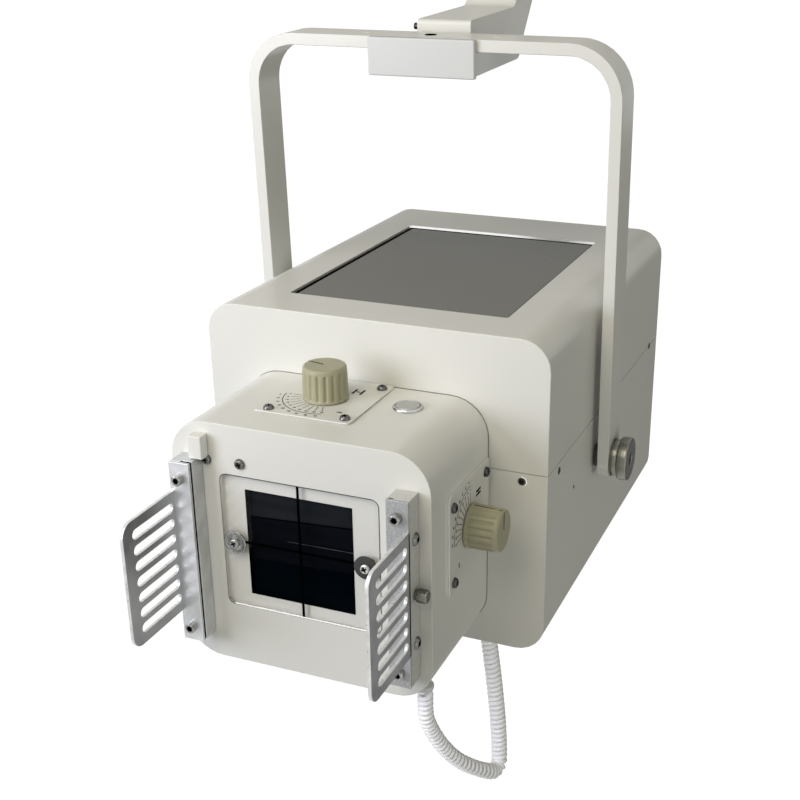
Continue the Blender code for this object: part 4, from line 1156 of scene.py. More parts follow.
class XRAY_OT_collimator(bpy.types.Operator):
    """Finishes the collimator's box, window, cross lines, washers and front screws"""

    bl_idname = "xray.collimator"
    bl_label = "Collimator window"

    FRONT_SCREWS = [(-0.0446, 0.1532), (-0.0680, 0.1528)]
    SCREW_TURN = 0.4
    # The cross printed on the window, with its middle in the housing's frame
    LINE_WIDTH = 0.0018
    LINE_X = -0.0062
    LINE_Z = 0.0997
    WASHER_GROWS = 1.08
    WASHER_SCREW = 0.0035
    WASHER_SCREW_TURN = 0.5
    # The window plate's corner, how far the painted shade line of its sawn sides reaches out, in, forward and
    # to one side, and its foot's painted highlight
    PLATE_CORNER = 0.005
    EDGE_OUT, EDGE_IN, EDGE_RISE, EDGE_SHIFT = 0.00035, 0.0002, 0.00006, 0.00015
    FOOT_HIGH, FOOT_DEEP = 0.0014, 0.00055
    # The beam opening, the inner blade between the leaves and the painted highlight on the blade's edge, as
    # (x, z) corners in the housing's frame
    OPENING_LOW, OPENING_HIGH = (-0.0445, 0.0618), (0.0285, 0.1348)
    BLADE = [(-0.0443, 0.0862), (0.0281, 0.0888), (0.0281, 0.1195), (-0.0443, 0.1156)]
    BLADE_EDGE = [(-0.0180, 0.1024), (0.0281, 0.1030), (0.0281, 0.1034), (-0.0180, 0.1026)]
    BLADE_THICK, BLADE_AHEAD, BLADE_SHADOW = 0.0003, 0.0004, 0.0005
    # Thickness of the painted shade lining round the beam opening
    LINING = 0.0002
    # Sheet of painted shade behind the leaves: its thickness and how far behind them it lies
    LINER_THICK, LINER_BEHIND = 0.0006, 0.0008
    GASKET_WIDE, GASKET_THICK, GASKET_AHEAD = 0.0003, 0.00025, 0.00002
    CORNER = 0.0255

    def execute(self, context):
        dress("collimator_housing", "ivory_enamel")
        dress("window_plate", "clear_acrylic")
        # The upper leaf is painted lighter and the others darker: a painted reflection and painted shade
        paint_node("shutter_leaf_upper", "leaf_sheet")
        for leaf in ("lower", "left", "right"):
            paint_node(f"shutter_leaf_{leaf}", "leaf_sheet_worn")
        self.add_cross_lines()
        self.add_plate_edges()
        self.add_liner()
        self.add_lining()
        self.add_blade()
        self.add_gasket()
        self.add_washers()
        front = COLLIMATOR_LOW.y - HEAD_AT.y
        turn = FACING_FRONT @ Matrix.Rotation(self.SCREW_TURN, 4, "Z")
        places = [at(head(x, front, z), turn) for x, z in self.FRONT_SCREWS]
        add_pan_screws("collimator_front_screws", "collimator_screw_recesses", fittings().pan_radius, places,
                       "screw_steel")
        return {"FINISHED"}

    def add_cross_lines(self):
        rise = fittings().print_rise
        face = PLATE_LOW.y - HEAD_AT.y - rise
        low, high = PLATE_LOW.z - HEAD_AT.z, PLATE_HIGH.z - HEAD_AT.z
        upright = box((self.LINE_WIDTH, rise, high - low), head(self.LINE_X, face, (low + high) / 2))
        left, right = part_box("window_washer_left")[1].x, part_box("window_washer_right")[0].x
        level = box((right - left, rise, self.LINE_WIDTH), head((left + right) / 2, face, self.LINE_Z))
        add_print("window_cross_lines", joined((upright, UPRIGHT), (level, UPRIGHT)))

    def add_plate_edges(self):
        """The plate's sawn sides, drawn as a fine painted shade line round it, and a painted highlight along
        the foot.
        """
        low, high = PLATE_LOW, PLATE_HIGH
        middle = Vector(((low.x + high.x) / 2, low.y - self.EDGE_RISE, (low.z + high.z) / 2))
        half_x, half_z = (high.x - low.x) / 2, (high.z - low.z) / 2
        corners = ((-1, -1), (1, -1), (1, 1), (-1, 1))
        outer, inner = (
            rounded_corners([
                (i * (half_x + grow) + shift, k * (half_z + grow) + shift, self.PLATE_CORNER + grow)
                for i, k in corners])
            for grow, shift in ((self.EDGE_OUT, self.EDGE_SHIFT), (-self.EDGE_IN, -self.EDGE_SHIFT)))
        ring = sheet_metal(outer, [inner], self.EDGE_RISE)
        add_piece("window_plate_sides", ring, "acrylic_edge", "head",
                  place=at(middle, FACING_FRONT))
        wedge = [(0.0, 0.0), (0.0, self.FOOT_HIGH), (self.FOOT_DEEP, self.FOOT_HIGH)]
        foot = sheet_metal(wedge, (), 2 * (half_x - self.PLATE_CORNER))
        add_piece("window_plate_foot", foot, "polished_acrylic", "head", place=at(
            (middle.x, low.y, low.z - self.EDGE_OUT), FORWARD_AND_UP))

    def add_lining(self):
        """Black sheet round the walls of the beam opening: painted shade on walls that lie in shadow."""
        (left, foot), (right, top) = self.OPENING_LOW, self.OPENING_HIGH
        front, back = PLATE_HIGH.y + HAIR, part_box("shutter_leaf_upper")[0].y - HAIR
        outer, inner = (
            [(left + inset, foot + inset), (right - inset, foot + inset), (right - inset, top - inset),
             (left + inset, top - inset)] for inset in (HAIR, HAIR + self.LINING))
        lining = sheet_metal(outer, [inner], back - front)
        add_piece("beam_opening_lining", lining, "leaf_sheet_worn", "head", place=at(
            (HEAD_AT.x, (front + back) / 2, HEAD_AT.z), FACING_FRONT))

    def add_blade(self):
        """Inner blade between the leaves, with a painted highlight along its edge and a painted shadow along
        its top.
        """
        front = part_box("shutter_leaf_upper")[0].y - self.BLADE_AHEAD
        seat = at((HEAD_AT.x, front, HEAD_AT.z), FACING_FRONT)
        ahead = at((HEAD_AT.x, front - self.BLADE_THICK, HEAD_AT.z), FACING_FRONT)
        top = self.BLADE[2:]
        shadow = [*top, *[(x, z - self.BLADE_SHADOW) for x, z in reversed(top)]]
        for name, outline, paint, place in (
                ("shutter_blade", self.BLADE, "blade_blue", seat),
                ("shutter_blade_shadow", shadow, "print_ink", ahead),
                ("shutter_blade_edge", self.BLADE_EDGE, "blade_bright", ahead)):
            blade = sheet_metal(outline, (), self.BLADE_THICK)
            add_piece(name, blade, paint, "head", place=place)

    def add_gasket(self):
        """Thin black gasket between the collimator and the housing."""
        low, high = COLLIMATOR_LOW, COLLIMATOR_HIGH
        corners = [(low.x, low.z), (high.x, low.z), (high.x, high.z), (low.x, high.z)]
        middle = ((low.x + high.x) / 2, (low.z + high.z) / 2)
        outer, inner = (
            rounded_corners([
                (x + math.copysign(grow, x - middle[0]), z + math.copysign(grow, z - middle[1]),
                 self.CORNER + grow) for x, z in corners])
            for grow in (self.GASKET_WIDE, HAIR))
        ring = sheet_metal(outer, [inner], self.GASKET_THICK)
        add_piece("collimator_gasket", ring, "soft_rubber", "head", place=at(
            (0, HOUSING_LOW.y - self.GASKET_THICK / 2 - self.GASKET_AHEAD, 0), FACING_FRONT))

    def add_liner(self):
        """Black sheet behind the leaves, in front of the closed inside: painted shade where the inside lies
        in shadow.
        """
        low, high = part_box("shutter_leaf_lower")[0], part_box("shutter_leaf_upper")[1]
        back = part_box("shutter_leaf_left")[1].y
        painted_shade = box((high.x - low.x, self.LINER_THICK, high.z - low.z), (
            (low.x + high.x) / 2, back + self.LINER_BEHIND, (low.z + high.z) / 2))
        add_piece("shutter_liner", painted_shade, "leaf_sheet_worn", "head")

    def add_washers(self):
        for side, paint, metal, slot in (
                ("left", "plated_steel", "plated_steel", "chrome"),
                ("right", "soft_rubber", "bright_chrome", "black_plastic")):
            low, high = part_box(f"window_washer_{side}")
            radius, thick = (high.x - low.x) / 2 * self.WASHER_GROWS, high.y - low.y
            middle = Vector(((low.x + high.x) / 2, high.y, (low.z + high.z) / 2))
            dish = 0.75 * thick
            washer = turned([
                (0.0, 0.0), (radius, 0.0), (radius, 0.7 * thick), (radius - 0.3 * thick, thick),
                (0.62 * radius, thick), (0.55 * radius, dish), (0.0, dish),
            ])
            add_piece(f"washer_{side}", washer, paint, "head", [f"window_washer_{side}"],
                      at(middle, FACING_FRONT))
            turn = FACING_FRONT @ Matrix.Rotation(self.WASHER_SCREW_TURN, 4, "Z")
            add_pan_screws(f"washer_screw_{side}", f"washer_screw_recess_{side}", self.WASHER_SCREW,
                           [at(middle - Vector((0, dish, 0)), turn)], metal)


class XRAY_OT_brackets(bpy.types.Operator):
    """Makes the slotted brackets and finishes the rails, their screws and the stop block"""

    bl_idname = "xray.brackets"
    bl_label = "Rails and brackets"

    # Slots in each wing, and how much of the wing they leave at its root and at its tip
    WING_SLOTS = 7
    SLOT_PITCH = 0.0105
    SLOT_WIDTH = 0.0064
    SLOT_ROOT = 0.0025
    SLOT_TIP = 0.0095
    THICK = 0.0023
    RAIL_EASE, FLANGE_EASE, WING_EASE = 0.00025, 0.0003, 0.00035
    # Width and depth of the slot in each rail, and how deep and how short the strip of painted shade in it is
    NOTCH = {"left": 0.0018, "right": 0.0010}
    SLOT_DEEP = {"left": 0.0072, "right": 0.0038}
    LINER_DEEP, LINER_SHORT = 0.0006, 0.0004
    WING_LOW, WING_HIGH = 0.0526, 0.1358
    CORNER = 0.009
    # A wing's face is a cut edge where its normal leans further than this from the sheet's own
    EDGE_NORMAL = 0.9
    CAP_SCREWS_Z = (0.1444, 0.0408)
    SIDE_SCREWS_Z = (0.1275, 0.0574)
    SIDE_SCREWS_BACK = 0.55
    CAP_SHADE_BELOW = 0.0004
    # The rails' domed screws, their flat top as a share of the rise, and the painted shade disc in its socket
    DOME_RADIUS, DOME_RISE, DOME_TOP = 0.0042, 0.0024, 0.84
    DOME_SHADE, DOME_SHADE_BELOW = 0.0033, 0.0003
    KNURLS = 40
    KNURL_SINK = 0.96

    def execute(self, context):
        for side, sign, _ in SIDES:
            self.add_rail(side, sign)
            self.add_bracket(side, sign)
        self.add_screws()
        self.add_thumbscrew()
        dress("slot_stop_block", "ivory_enamel")
        return {"FINISHED"}

    def add_rail(self, side, sign):
        """Bar with its slot on the side towards the beam, up against the bracket."""
        low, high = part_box(f"rail_{side}")
        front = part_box(f"bracket_{side}")[1].y + HAIR
        half, deep = (high.x - low.x) / 2, high.y - front
        notch_wide, notch_deep = self.NOTCH[side], self.SLOT_DEEP[side]
        notch = [(-half, notch_wide), (-half + notch_deep, notch_wide), (-half + notch_deep, 0)]
        outline = [(half, 0), (half, deep), (-half, deep), *notch]
        if sign < 0:
            outline = [(-x, y) for x, y in reversed(outline)]
        rail = ease(sheet_metal(outline, (), high.z - low.z), self.RAIL_EASE)
        middle = Vector(((low.x + high.x) / 2, front, (low.z + high.z) / 2))
        paint = ("brushed_plate", "rail_satin")[sign > 0]
        add_piece(f"rail_{side}_slotted", rail, paint, "head", [f"rail_{side}"],
                  at(middle))
        # Painted shade: a black strip in the slot, where its shadow falls
        wide = notch_deep - self.LINER_DEEP
        painted_shade = box((wide, notch_wide - 2 * HAIR, high.z - low.z - self.LINER_SHORT), middle + Vector((
            -sign * (half - self.LINER_DEEP - wide / 2), notch_wide / 2, 0)))
        add_print(f"rail_{side}_slot_liner", painted_shade)

    def add_bracket(self, side, sign):
        """Flange against the rail, and the slotted wing that stands forward from it."""
        low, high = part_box(f"bracket_{side}")
        rail_low, rail_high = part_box(f"rail_{side}")
        width = rail_high.x - rail_low.x
        outer = (low.x, high.x)[sign > 0]
        flange = ease(box(
            (width, self.THICK, high.z - low.z),
            (outer - sign * width / 2, high.y - self.THICK / 2, (low.z + high.z) / 2)), self.FLANGE_EASE)
        reach = high.y - low.y
        corners = [(0.0, self.WING_LOW, 0), (reach, self.WING_LOW, self.CORNER),
                   (reach, self.WING_HIGH, self.CORNER), (0.0, self.WING_HIGH, 0)]
        middle = (self.WING_LOW + self.WING_HIGH) / 2
        slots = []
        for i in range(self.WING_SLOTS):
            up = middle + (i - (self.WING_SLOTS - 1) / 2) * self.SLOT_PITCH
            shape = stadium(self.THICK + self.SLOT_ROOT, reach - self.SLOT_TIP, self.SLOT_WIDTH)
            slots.append([(x, y + up) for x, y in shape])
        wing = ease(sheet_metal(rounded_corners(corners), slots, self.THICK), self.WING_EASE)
        bmesh.ops.recalc_face_normals(wing, faces=wing.faces)
        # Cut edges take the brighter finish, a painted highlight
        for face in wing.faces:
            face.material_index = int(abs(face.normal.z) < self.EDGE_NORMAL)
        place = at((outer - sign * self.THICK / 2, high.y, HEAD_AT.z), FORWARD_AND_UP)
        piece = add_piece(
            f"bracket_{side}_wing", wing, "wing_aluminium", "head", place=place)
        piece.data.materials.append(finish("sheared_edge"))
        paint = ("brushed_plate", "dull_aluminium")[sign > 0]
        add_piece(f"bracket_{side}_flange", flange, paint, "head", [f"bracket_{side}"])

    def add_screws(self):
        radius, height = fittings().cap_radius, fittings().cap_height
        caps, domes = [], []
        for side, sign, turn in SIDES:
            low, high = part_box(f"rail_{side}")
            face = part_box(f"bracket_{side}")[1].y - self.THICK
            outer = (low.x, high.x)[sign > 0]
            back = low.y + self.SIDE_SCREWS_BACK * (high.y - low.y)
            caps += [at(((low.x + high.x) / 2, face, HEAD_AT.z + z), FACING_FRONT) for z in self.CAP_SCREWS_Z]
            domes += [at((outer, back, HEAD_AT.z + z), turn) for z in self.SIDE_SCREWS_Z]
        screws = stamp(bmesh.new(), cap_head(radius, height), caps)
        add_piece("bracket_cap_screws", screws, "plated_steel", "head")
        # Painted shade: dark discs in the cap and dome sockets
        shades = stamp(bmesh.new(), recess_shade(cap_recess(radius), height - self.CAP_SHADE_BELOW), caps)
        dome_floor = self.DOME_TOP * self.DOME_RISE - self.DOME_SHADE_BELOW
        stamp(shades, recess_shade(hex_recess(self.DOME_SHADE), dome_floor), domes)
        add_print("bracket_screw_sockets", shades)
        sides = stamp(bmesh.new(), button_head(self.DOME_RADIUS, self.DOME_RISE), domes)
        add_piece("rail_side_screws", sides, "screw_steel", "head")

    def add_thumbscrew(self):
        """The right rail's thumbscrew: a turned body inside a knurled band."""
        low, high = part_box("rail_thumbscrew")
        radius, length = (high.z - low.z) / 2, high.x - low.x
        neck, core, dish = 0.8 * radius, 0.97 * radius, length - 0.0002
        body = turned([
            (0.0, 0.0), (neck, 0.0), (neck, 0.0012), (core, 0.0016), (core, length - 0.0006),
            (0.85 * radius, length), (0.3 * radius, dish), (0.0, dish),
        ], self.KNURLS)
        foot, top = 0.0018, length - 0.0008
        knurl = turned([(0.0, foot), (radius, foot), (radius, top), (0.0, top)], self.KNURLS)
        for vert in knurl.verts:
            turn = math.atan2(vert.co.y, vert.co.x)
            if round(turn / (FULL_TURN / self.KNURLS)) % 2:
                vert.co.x *= self.KNURL_SINK
                vert.co.y *= self.KNURL_SINK
        screw = joined((body, UPRIGHT), (knurl, UPRIGHT))
        place = at((low.x, (low.y + high.y) / 2, (low.z + high.z) / 2), FACING_RIGHT)
        add_piece("rail_thumbscrew_knurled", screw, "turned_steel", "head",
                  ["rail_thumbscrew"], place)


class XRAY_OT_dials(bpy.types.Operator):
    """Makes the two ribbed knobs and prints the scales round them"""

    bl_idname = "xray.dials"
    bl_label = "Dials"

    # Ribs round the knob, the steps that make each one, and how deep the groove is at which step
    RIBS = 18
    RIB_STEPS = 8
    GROOVE = {3: 0.0008, 4: 0.0010, 5: 0.0008}
    SKIRT = 0.0022
    CAP = 0.0032
    # The knob's taper and gap over its plate, its small and large edges, its grooves' ends and dished top
    KNOB_TAPER, KNOB_GAP = 0.945, 0.0003
    KNOB_EASE, KNOB_EDGE = 0.0005, 0.0013
    GROOVE_END, DISH = 0.0012, 0.00015
    # The line on the knob, and how far it leans on the side with the ribs' slope
    KNOB_LINE_RISE, KNOB_LINE_SHORT, KNOB_LINE_LEAN = 0.0002, 0.002, -0.04
    CUT_EDGE_NORMAL = 0.9

    # The print, laid out round the knob with x to the right and y to the back of the top plate
    SCALE_RADIUS = 0.0272
    SCALE_STEPS = 40
    TICK_INNER, TICK_OUTER = 0.0155, 0.0222
    INNER_RADIUS, OUTER_RADIUS = 0.0243, 0.0304
    INNER_NUMBERS = (5, 8, 10, 12, 15, 18, 20, 24, 30, 35)
    OUTER_NUMBERS = (5, 10, 15, 20, 25, 30, 35, 40, 43)
    # Sizes of the two rows of numbers, as shares of the digit height, and how much bolder digits are
    INNER_SIZE, OUTER_SIZE, BOLD = 0.85, 0.9, 0.03
    LINE = 0.00052
    TICK = 0.8
    LABEL_AT = (0.0187, -0.0190)
    LABEL = 100
    BAR = (0.0014, 0.0082)
    BRIDGE = 0.0012
    DIALS = {
        "top": {"start": 183, "sweep": 108, "turn": 0, "bars": (0.0148, 0.0170, 0.0027), "pointer": 168},
        "side": {"start": 180, "sweep": 95, "turn": -90, "bars": (-0.0169, 0.0144, 0.0013), "pointer": 90},
    }
    SCREWS = [(-0.0250, -0.0286), (0.0268, -0.0275), (0.0266, 0.0271), (-0.0250, 0.0275)]
    SCREW_TURN = 0.6

    def execute(self, context):
        for name, settings in self.DIALS.items():
            plate_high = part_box(f"dial_plate_{name}")[1]
            knob_low, knob_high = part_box(f"dial_knob_{name}")
            middle = (knob_low + knob_high) / 2
            if name == "top":
                place = at((middle.x, middle.y, plate_high.z))
                size = (knob_high.z - plate_high.z, (knob_high.y - knob_low.y) / 2)
            else:
                place = at((plate_high.x, middle.y, middle.z), BACK_AND_UP)
                size = (knob_high.x - plate_high.x, (knob_high.y - knob_low.y) / 2)
            plate = dress(f"dial_plate_{name}", "dial_enamel")
            if name == "side":
                # Its cut edges take a painted highlight
                plate.data.materials.append(finish("polished_lip"))
                for face in plate.data.polygons:
                    face.material_index = int(abs(face.normal.x) < self.CUT_EDGE_NORMAL)
            self.add_knob(name, place, *size, math.radians(settings["pointer"]))
            art = place @ Matrix.Rotation(math.radians(settings["turn"]), 4, "Z")
            self.print_scale(name, art, settings)
            turn = Matrix.Rotation(self.SCREW_TURN, 4, "Z")
            places = [art @ Matrix.Translation((x, y, 0)) @ turn for x, y in self.SCREWS]
            # The side dial's screws take the darker steel as painted shade
            metal = ("dark_screw", "screw_steel")[name == "top"]
            add_pan_screws(f"dial_screws_{name}", f"dial_screw_recesses_{name}", fittings().pan_radius,
                           places, metal)
        return {"FINISHED"}

    def add_knob(self, name, place, height, radius, pointer):
        """Ribbed knob with a skirt at its foot and a plain cap, and the line that points at the scale."""
        top, side = radius * self.KNOB_TAPER, radius - 0.0003
        skirt, cap, dish = self.SKIRT, height - self.CAP, height - self.DISH
        gap, small, edge = self.KNOB_GAP, self.KNOB_EASE, self.KNOB_EDGE
        bm = turned([
            (0.0, gap), (radius - small, gap), (radius, gap + small), (radius, skirt - small), (side, skirt),
            (side, skirt + self.GROOVE_END), (top + 0.0002, cap - self.GROOVE_END), (top + 0.0001, cap),
            (top, cap + 0.0004), (top - 0.0001, height - edge), (top - 0.4 * edge, height - 0.35 * edge),
            (top - edge, height), (top - edge - 0.0004, height), (0.5 * top, dish), (0.0, dish),
        ], self.RIBS * self.RIB_STEPS)
        self.flute(bm, skirt + 0.0001, cap - 0.0001)
        turned_place = place @ Matrix.Rotation(pointer, 4, "Z")
        add_piece(f"knob_{name}", bm, "olive_satin", "head", [f"dial_knob_{name}"],
                  turned_place)
        rise, long = self.KNOB_LINE_RISE, height - skirt - self.KNOB_LINE_SHORT
        foot = Vector((radius - rise, 0, skirt))
        over = box((0.85 * top, self.LINE, rise), (0.50 * top, 0, height))
        down = box((2 * rise, self.LINE, long), (radius - rise, 0, (height + skirt) / 2))
        leaning = at(foot, Matrix.Rotation(self.KNOB_LINE_LEAN, 4, "Y")) @ Matrix.Translation(-foot)
        add_print(f"knob_line_{name}", joined((over, UPRIGHT), (down, leaning)), place=turned_place)

    def flute(self, bm, low, high):
        """Sinks a rounded groove between each pair of ribs, ending below the cap and above the skirt."""
        step_turn = FULL_TURN / (self.RIBS * self.RIB_STEPS)
        for vert in bm.verts:
            if not low < vert.co.z < high:
                continue
            reach = math.hypot(vert.co.x, vert.co.y)
            step = round(math.atan2(vert.co.y, vert.co.x) / step_turn)
            sink = self.GROOVE.get(step % self.RIB_STEPS, 0.0)
            vert.co.x *= 1 - sink / reach
            vert.co.y *= 1 - sink / reach

    def print_scale(self, name, art, settings):
        """Prints a dial's arc, ticks, two rows of numbers, label and bars as one piece."""
        rise, line = fittings().print_rise, self.LINE
        start, sweep = math.radians(settings["start"]), math.radians(settings["sweep"])
        bm = bmesh.new()
        arc = bmesh.new()
        section = Matrix.Translation((self.SCALE_RADIUS, 0, rise / 2)) @ Matrix.Rotation(math.pi / 2, 4, "X")
        bmesh.ops.create_grid(
            arc, x_segments=1, y_segments=1, size=0.5, matrix=section @ Matrix.Diagonal((line, rise, 1, 1)))
        bmesh.ops.spin(arc, geom=arc.faces[:] + arc.edges[:] + arc.verts[:], axis=(0, 0, 1), cent=(0, 0, 0),
                       angle=sweep, steps=self.SCALE_STEPS)
        bmesh.ops.recalc_face_normals(arc, faces=arc.faces)
        stamp(bm, arc, [Matrix.Rotation(start, 4, "Z")])
        tick = box((self.TICK_OUTER - self.TICK_INNER, self.TICK * line, rise),
                   ((self.TICK_INNER + self.TICK_OUTER) / 2, 0, rise / 2))
        turns = [start + sweep * i / (len(self.INNER_NUMBERS) - 1) for i in range(len(self.INNER_NUMBERS))]
        stamp(bm, tick, [Matrix.Rotation(turn, 4, "Z") for turn in turns])
        size = fittings().digit_height
        for number, turn in zip(self.INNER_NUMBERS, turns):
            self.add_number(bm, number, self.INNER_RADIUS, turn, self.INNER_SIZE * size)
        between = 0.5 * sweep / len(turns)
        for number, turn in zip(self.OUTER_NUMBERS, turns):
            self.add_number(bm, number, self.OUTER_RADIUS, turn + between, self.OUTER_SIZE * size)
        x, y = self.LABEL_AT
        self.add_number(bm, self.LABEL, math.hypot(x, y), math.atan2(y, x), size)
        x, y, apart = settings["bars"]
        bars = ((x - apart, self.BAR), (x + apart, self.BAR), (x, (apart, self.BRIDGE)))
        for across, shape in bars:
            stamp(bm, box((*shape, rise)), [Matrix.Translation((across, y, rise / 2))])
        add_print(f"scale_print_{name}", bm, place=art)

    def add_number(self, bm, number, radius, turn, size):
        """Prints a number upright on the plate, at a turn round the knob."""
        text = bpy.data.curves.new("number", "FONT")
        text.body = str(number)
        text.size = size
        text.align_x = "CENTER"
        text.align_y = "CENTER"
        text.extrude = fittings().print_rise / 2
        text.offset = size * self.BOLD
        holder = in_scene("number", text)
        mesh = bpy.data.meshes.new_from_object(holder.evaluated_get(bpy.context.evaluated_depsgraph_get()))
        bpy.data.objects.remove(holder)
        bpy.data.curves.remove(text)
        spot = (radius * math.cos(turn), radius * math.sin(turn), fittings().print_rise / 2)
        mesh.transform(Matrix.Translation(spot))
        bm.from_mesh(mesh)
        bpy.data.meshes.remove(mesh)


class XRAY_OT_button(bpy.types.Operator):
    """Makes the field light's push button"""

    bl_idname = "xray.button"
    bl_label = "Push button"

    # Gap between cap and ring, and the rounded edges of the ring's mouth and of the cap
    GAP, MOUTH_EASE, CAP_EASE = 0.0003, 0.0003, 0.0007

    def execute(self, context):
        low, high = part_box("light_button_ring")
        cap_low, cap_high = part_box("light_button_cap")
        centre = Vector(((low.x + high.x) / 2, (low.y + high.y) / 2, low.z))
        outer, rise = (high.x - low.x) / 2, high.z - low.z
        inner = (cap_high.x - cap_low.x) / 2
        bore = inner + self.GAP
        ring = turned([
            (bore, 0.0), (outer, 0.0), (outer, 0.3 * rise), (outer - 0.0004, 0.75 * rise),
            (outer - 0.0009, rise), (bore + self.MOUTH_EASE, rise), (bore, rise - self.MOUTH_EASE),
            (bore, 0.0),
        ])
        add_piece("button_ring", ring, "bright_chrome", "head", ["light_button_ring"], at(centre))
        top = cap_high.z - low.z
        cap = turned([
            (0.0, 0.0), (inner, 0.0), (inner, top - self.CAP_EASE), (inner - 0.0002, top - 0.0003),
            (inner - self.CAP_EASE, top - 0.0001), (inner * 0.6, top - HAIR), (0.0, top),
        ])
        add_piece("button_cap", cap, "button_silver", "head", ["light_button_cap"],
                  at(centre))
        return {"FINISHED"}


class XRAY_OT_yoke(bpy.types.Operator):
    """Finishes the yoke bar, its carrier and the stand's arm, with their bolts and plugs"""

    bl_idname = "xray.yoke"
    bl_label = "Yoke and arm"

    # Filled holes in the yoke bar, whose upper face is this high above the tilt axis
    PLUGS_X = (-0.0480, 0.0450)
    PLUG_RADIUS, PLUG_RISE = 0.0028, 0.0002
    BAR_TOP = 0.289
    BOLT_CAP_RADIUS, BOLT_CAP_RISE = 0.0040, 0.0003
    SET_SCREW_RADIUS, SET_SCREW_LONG = 0.0023, 0.0062

    def execute(self, context):
        for node in ("yoke", "arm_end", "arm_flange"):
            dress(node, "ivory_enamel", "arm")
        dress("yoke_carrier", "carrier_enamel", "arm")
        paint_node("yoke_centre_bolt", "print_ink")
        low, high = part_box("arm_set_screw")
        seat = Vector((high.x, (low.y + high.y) / 2, (low.z + high.z) / 2))
        add_piece("arm_set_screw_head", cap_head(self.SET_SCREW_RADIUS, self.SET_SCREW_LONG), "dark_screw",
                  "arm", ["arm_set_screw"], at(seat, FACING_LEFT))
        radius, rise = self.PLUG_RADIUS, self.PLUG_RISE
        plug = turned([(0.0, -SEAT_DEPTH), (radius, -SEAT_DEPTH), (radius, 0.6 * rise), (0.8 * radius, rise),
                       (0.4 * radius, 0.25 * rise), (0.0, 0.0)], PLUG_STEPS)
        plugs = stamp(bmesh.new(), plug, [self.on_bar(x) for x in self.PLUGS_X])
        add_piece("yoke_hole_plugs", plugs, "filler_paint", "arm")
        # Painted shade: a black disc round the bolt for the dark hole it sits in
        low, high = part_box("yoke_centre_bolt")
        radius, rise = self.BOLT_CAP_RADIUS, self.BOLT_CAP_RISE
        cap = turned([(0.0, -SEAT_DEPTH), (radius, -SEAT_DEPTH), (radius, rise), (0.0, rise)], PLUG_STEPS)
        add_print("yoke_bolt_cap", cap, "arm", self.on_bar((low.x + high.x) / 2))
        return {"FINISHED"}

    def on_bar(self, x):
        """Place on the upper face of the yoke bar."""
        return YOKE_FRAME @ Matrix.Translation((x, 0, self.BAR_TOP))


class XRAY_OT_pivots(bpy.types.Operator):
    """Turns the clamp discs on the tilt axis, with the screw in each one's face"""

    bl_idname = "xray.pivots"
    bl_label = "Tilt clamps"

    # The clamp from the yoke out: washer, groove, collar, and a disc with a socket for the screw
    GAP = 0.0003
    WASHER = 0.0006
    GROOVE, GROOVE_TOP = 0.0012, 0.0014
    COLLAR, COLLAR_EASE = 0.0132, 0.0006
    STEP = 0.005
    DISC_EASE, DISC_ROUND = 0.0011, 0.0003
    SOCKET, SOCKET_EASE, SOCKET_DEEP = 0.0046, 0.0005, 0.0042
    SCREW_RADIUS, SCREW_RISE = 0.0041, 0.0026

    def execute(self, context):
        for side, sign, turn in SIDES:
            paint_node(f"pivot_spacer_{side}", "moulded_black")
            low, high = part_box(f"pivot_knob_{side}")
            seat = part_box("yoke")[sign > 0].x + sign * self.GAP
            face = abs((low.x, high.x)[sign > 0] - seat)
            place = at((seat, TILT_AT.y, TILT_AT.z), turn)
            knob = turned(self.clamp_profile((high.z - low.z) / 2, face))
            add_piece(f"tilt_clamp_{side}", knob, "turned_steel", "head",
                      [f"pivot_knob_{side}"], place)
            screw_place = place @ Matrix.Translation((0, 0, face - self.SOCKET_DEEP))
            add_piece(f"tilt_clamp_screw_{side}", cap_head(self.SCREW_RADIUS, self.SCREW_RISE), "dark_screw",
                      "head", place=screw_place)
        return {"FINISHED"}

    def clamp_profile(self, disc, face):
        """Outline of a clamp whose disc has this radius and whose face is this far out."""
        collar, step, socket, floor = self.COLLAR, self.STEP, self.SOCKET, face - self.SOCKET_DEEP
        washer, ease, soft = self.WASHER, self.DISC_EASE, self.DISC_ROUND
        return [
            (0.0, 0.0), (collar + washer, 0.0), (collar + washer, washer), (collar - self.GROOVE, washer),
            (collar - self.GROOVE, self.GROOVE_TOP), (collar, self.GROOVE_TOP),
            (collar, step - self.COLLAR_EASE), (collar - self.COLLAR_EASE, step),
            (disc - ease, step), (disc - soft, step + soft), (disc, step + ease), (disc, face - ease),
            (disc - soft, face - soft), (disc - ease, face), (socket + self.SOCKET_EASE, face),
            (socket, face - self.SOCKET_EASE), (socket, floor), (0.0, floor),
        ]


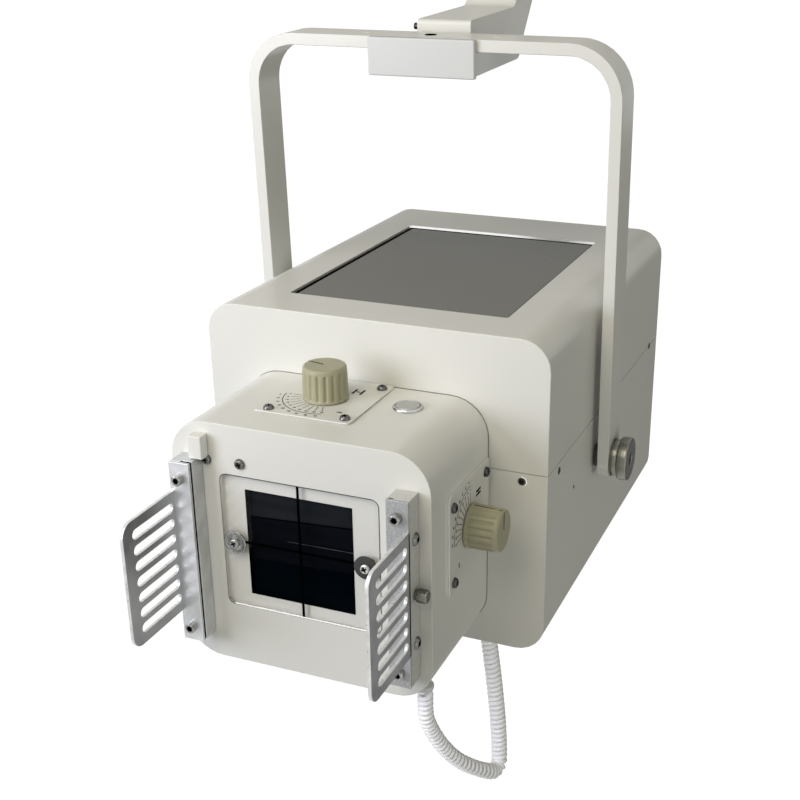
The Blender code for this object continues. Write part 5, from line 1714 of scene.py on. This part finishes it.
class XRAY_OT_back(bpy.types.Operator):
    """Finishes the connection panel, the feet and the sockets on the back"""

    bl_idname = "xray.back"
    bl_label = "Back panel and feet"

    FOOT_EASE = 0.0006
    PANEL_SCREW, PANEL_SCREW_INSET = 0.0024, 0.005
    # The inlet's pins as (across, up), and one pin's size, rounding and depth behind the inlet's face
    PINS = ((-0.006, -0.0015), (0.0, 0.0025), (0.006, -0.0015))
    PIN_SIZE, PIN_EASE, PIN_DEPTH = (0.0018, 0.0028, 0.004), 0.0003, 0.0016

    def execute(self, context):
        dress("rear_panel", "brushed_plate")
        dress("mains_inlet", "moulded_black")
        dress("power_switch", "moulded_black")
        dress("hand_switch_socket", "bright_chrome")
        for row in ("front", "back"):
            for side in ("left", "right"):
                dress(f"foot_{row}_{side}", "soft_rubber", eased=self.FOOT_EASE)
        self.add_panel_screws()
        self.add_inlet_pins()
        return {"FINISHED"}

    def add_panel_screws(self):
        low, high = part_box("rear_panel")
        inset = self.PANEL_SCREW_INSET
        spots = [at((x, high.y, z), FACING_BACK) for x in (low.x + inset, high.x - inset)
                 for z in (low.z + inset, high.z - inset)]
        screws = stamp(bmesh.new(), pan_head(self.PANEL_SCREW), spots)
        add_piece("rear_panel_screws", screws, "bright_chrome", "head")

    def add_inlet_pins(self):
        low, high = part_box("mains_inlet")
        middle = (low + high) / 2
        bm = bmesh.new()
        for x, z in self.PINS:
            pin = box(self.PIN_SIZE, (middle.x + x, high.y - self.PIN_DEPTH, middle.z + z))
            stamp(bm, ease(pin, self.PIN_EASE), [UPRIGHT])
        add_piece("mains_inlet_pins", bm, "bright_chrome", "head")


OPERATORS = (
    XRAY_OT_stage, XRAY_OT_lead, XRAY_OT_housing, XRAY_OT_collimator, XRAY_OT_brackets, XRAY_OT_dials,
    XRAY_OT_button, XRAY_OT_yoke, XRAY_OT_pivots, XRAY_OT_back,
)


class XRAY_PT_panel(bpy.types.Panel):
    """Lists the operators in the order that builds the whole head"""

    bl_idname = "XRAY_PT_panel"
    bl_label = "X-ray Head"
    bl_space_type = "VIEW_3D"
    bl_region_type = "UI"
    bl_category = "X-ray Head"

    def draw(self, context):
        layout = self.layout
        for operator in OPERATORS:
            layout.operator(operator.bl_idname)
        for group in ("xray_stage", "xray_colours", "xray_fittings"):
            settings = getattr(context.scene, group)
            column = layout.column(align=True)
            for name in settings.__annotations__:
                column.prop(settings, name)


GROUPS = {"xray_stage": XrayStage, "xray_colours": XrayColours, "xray_fittings": XrayFittings}


def register():
    for item in (*GROUPS.values(), *OPERATORS, XRAY_PT_panel):
        bpy.utils.register_class(item)
    for name, group in GROUPS.items():
        setattr(bpy.types.Scene, name, bpy.props.PointerProperty(type=group))


def unregister():
    for name in GROUPS:
        delattr(bpy.types.Scene, name)
    for item in (XRAY_PT_panel, *reversed(OPERATORS), *GROUPS.values()):
        bpy.utils.unregister_class(item)


def main():
    register()
    for operator in OPERATORS:
        group, name = operator.bl_idname.split(".")
        getattr(getattr(bpy.ops, group), name)()


if __name__ == "__main__":
    main()
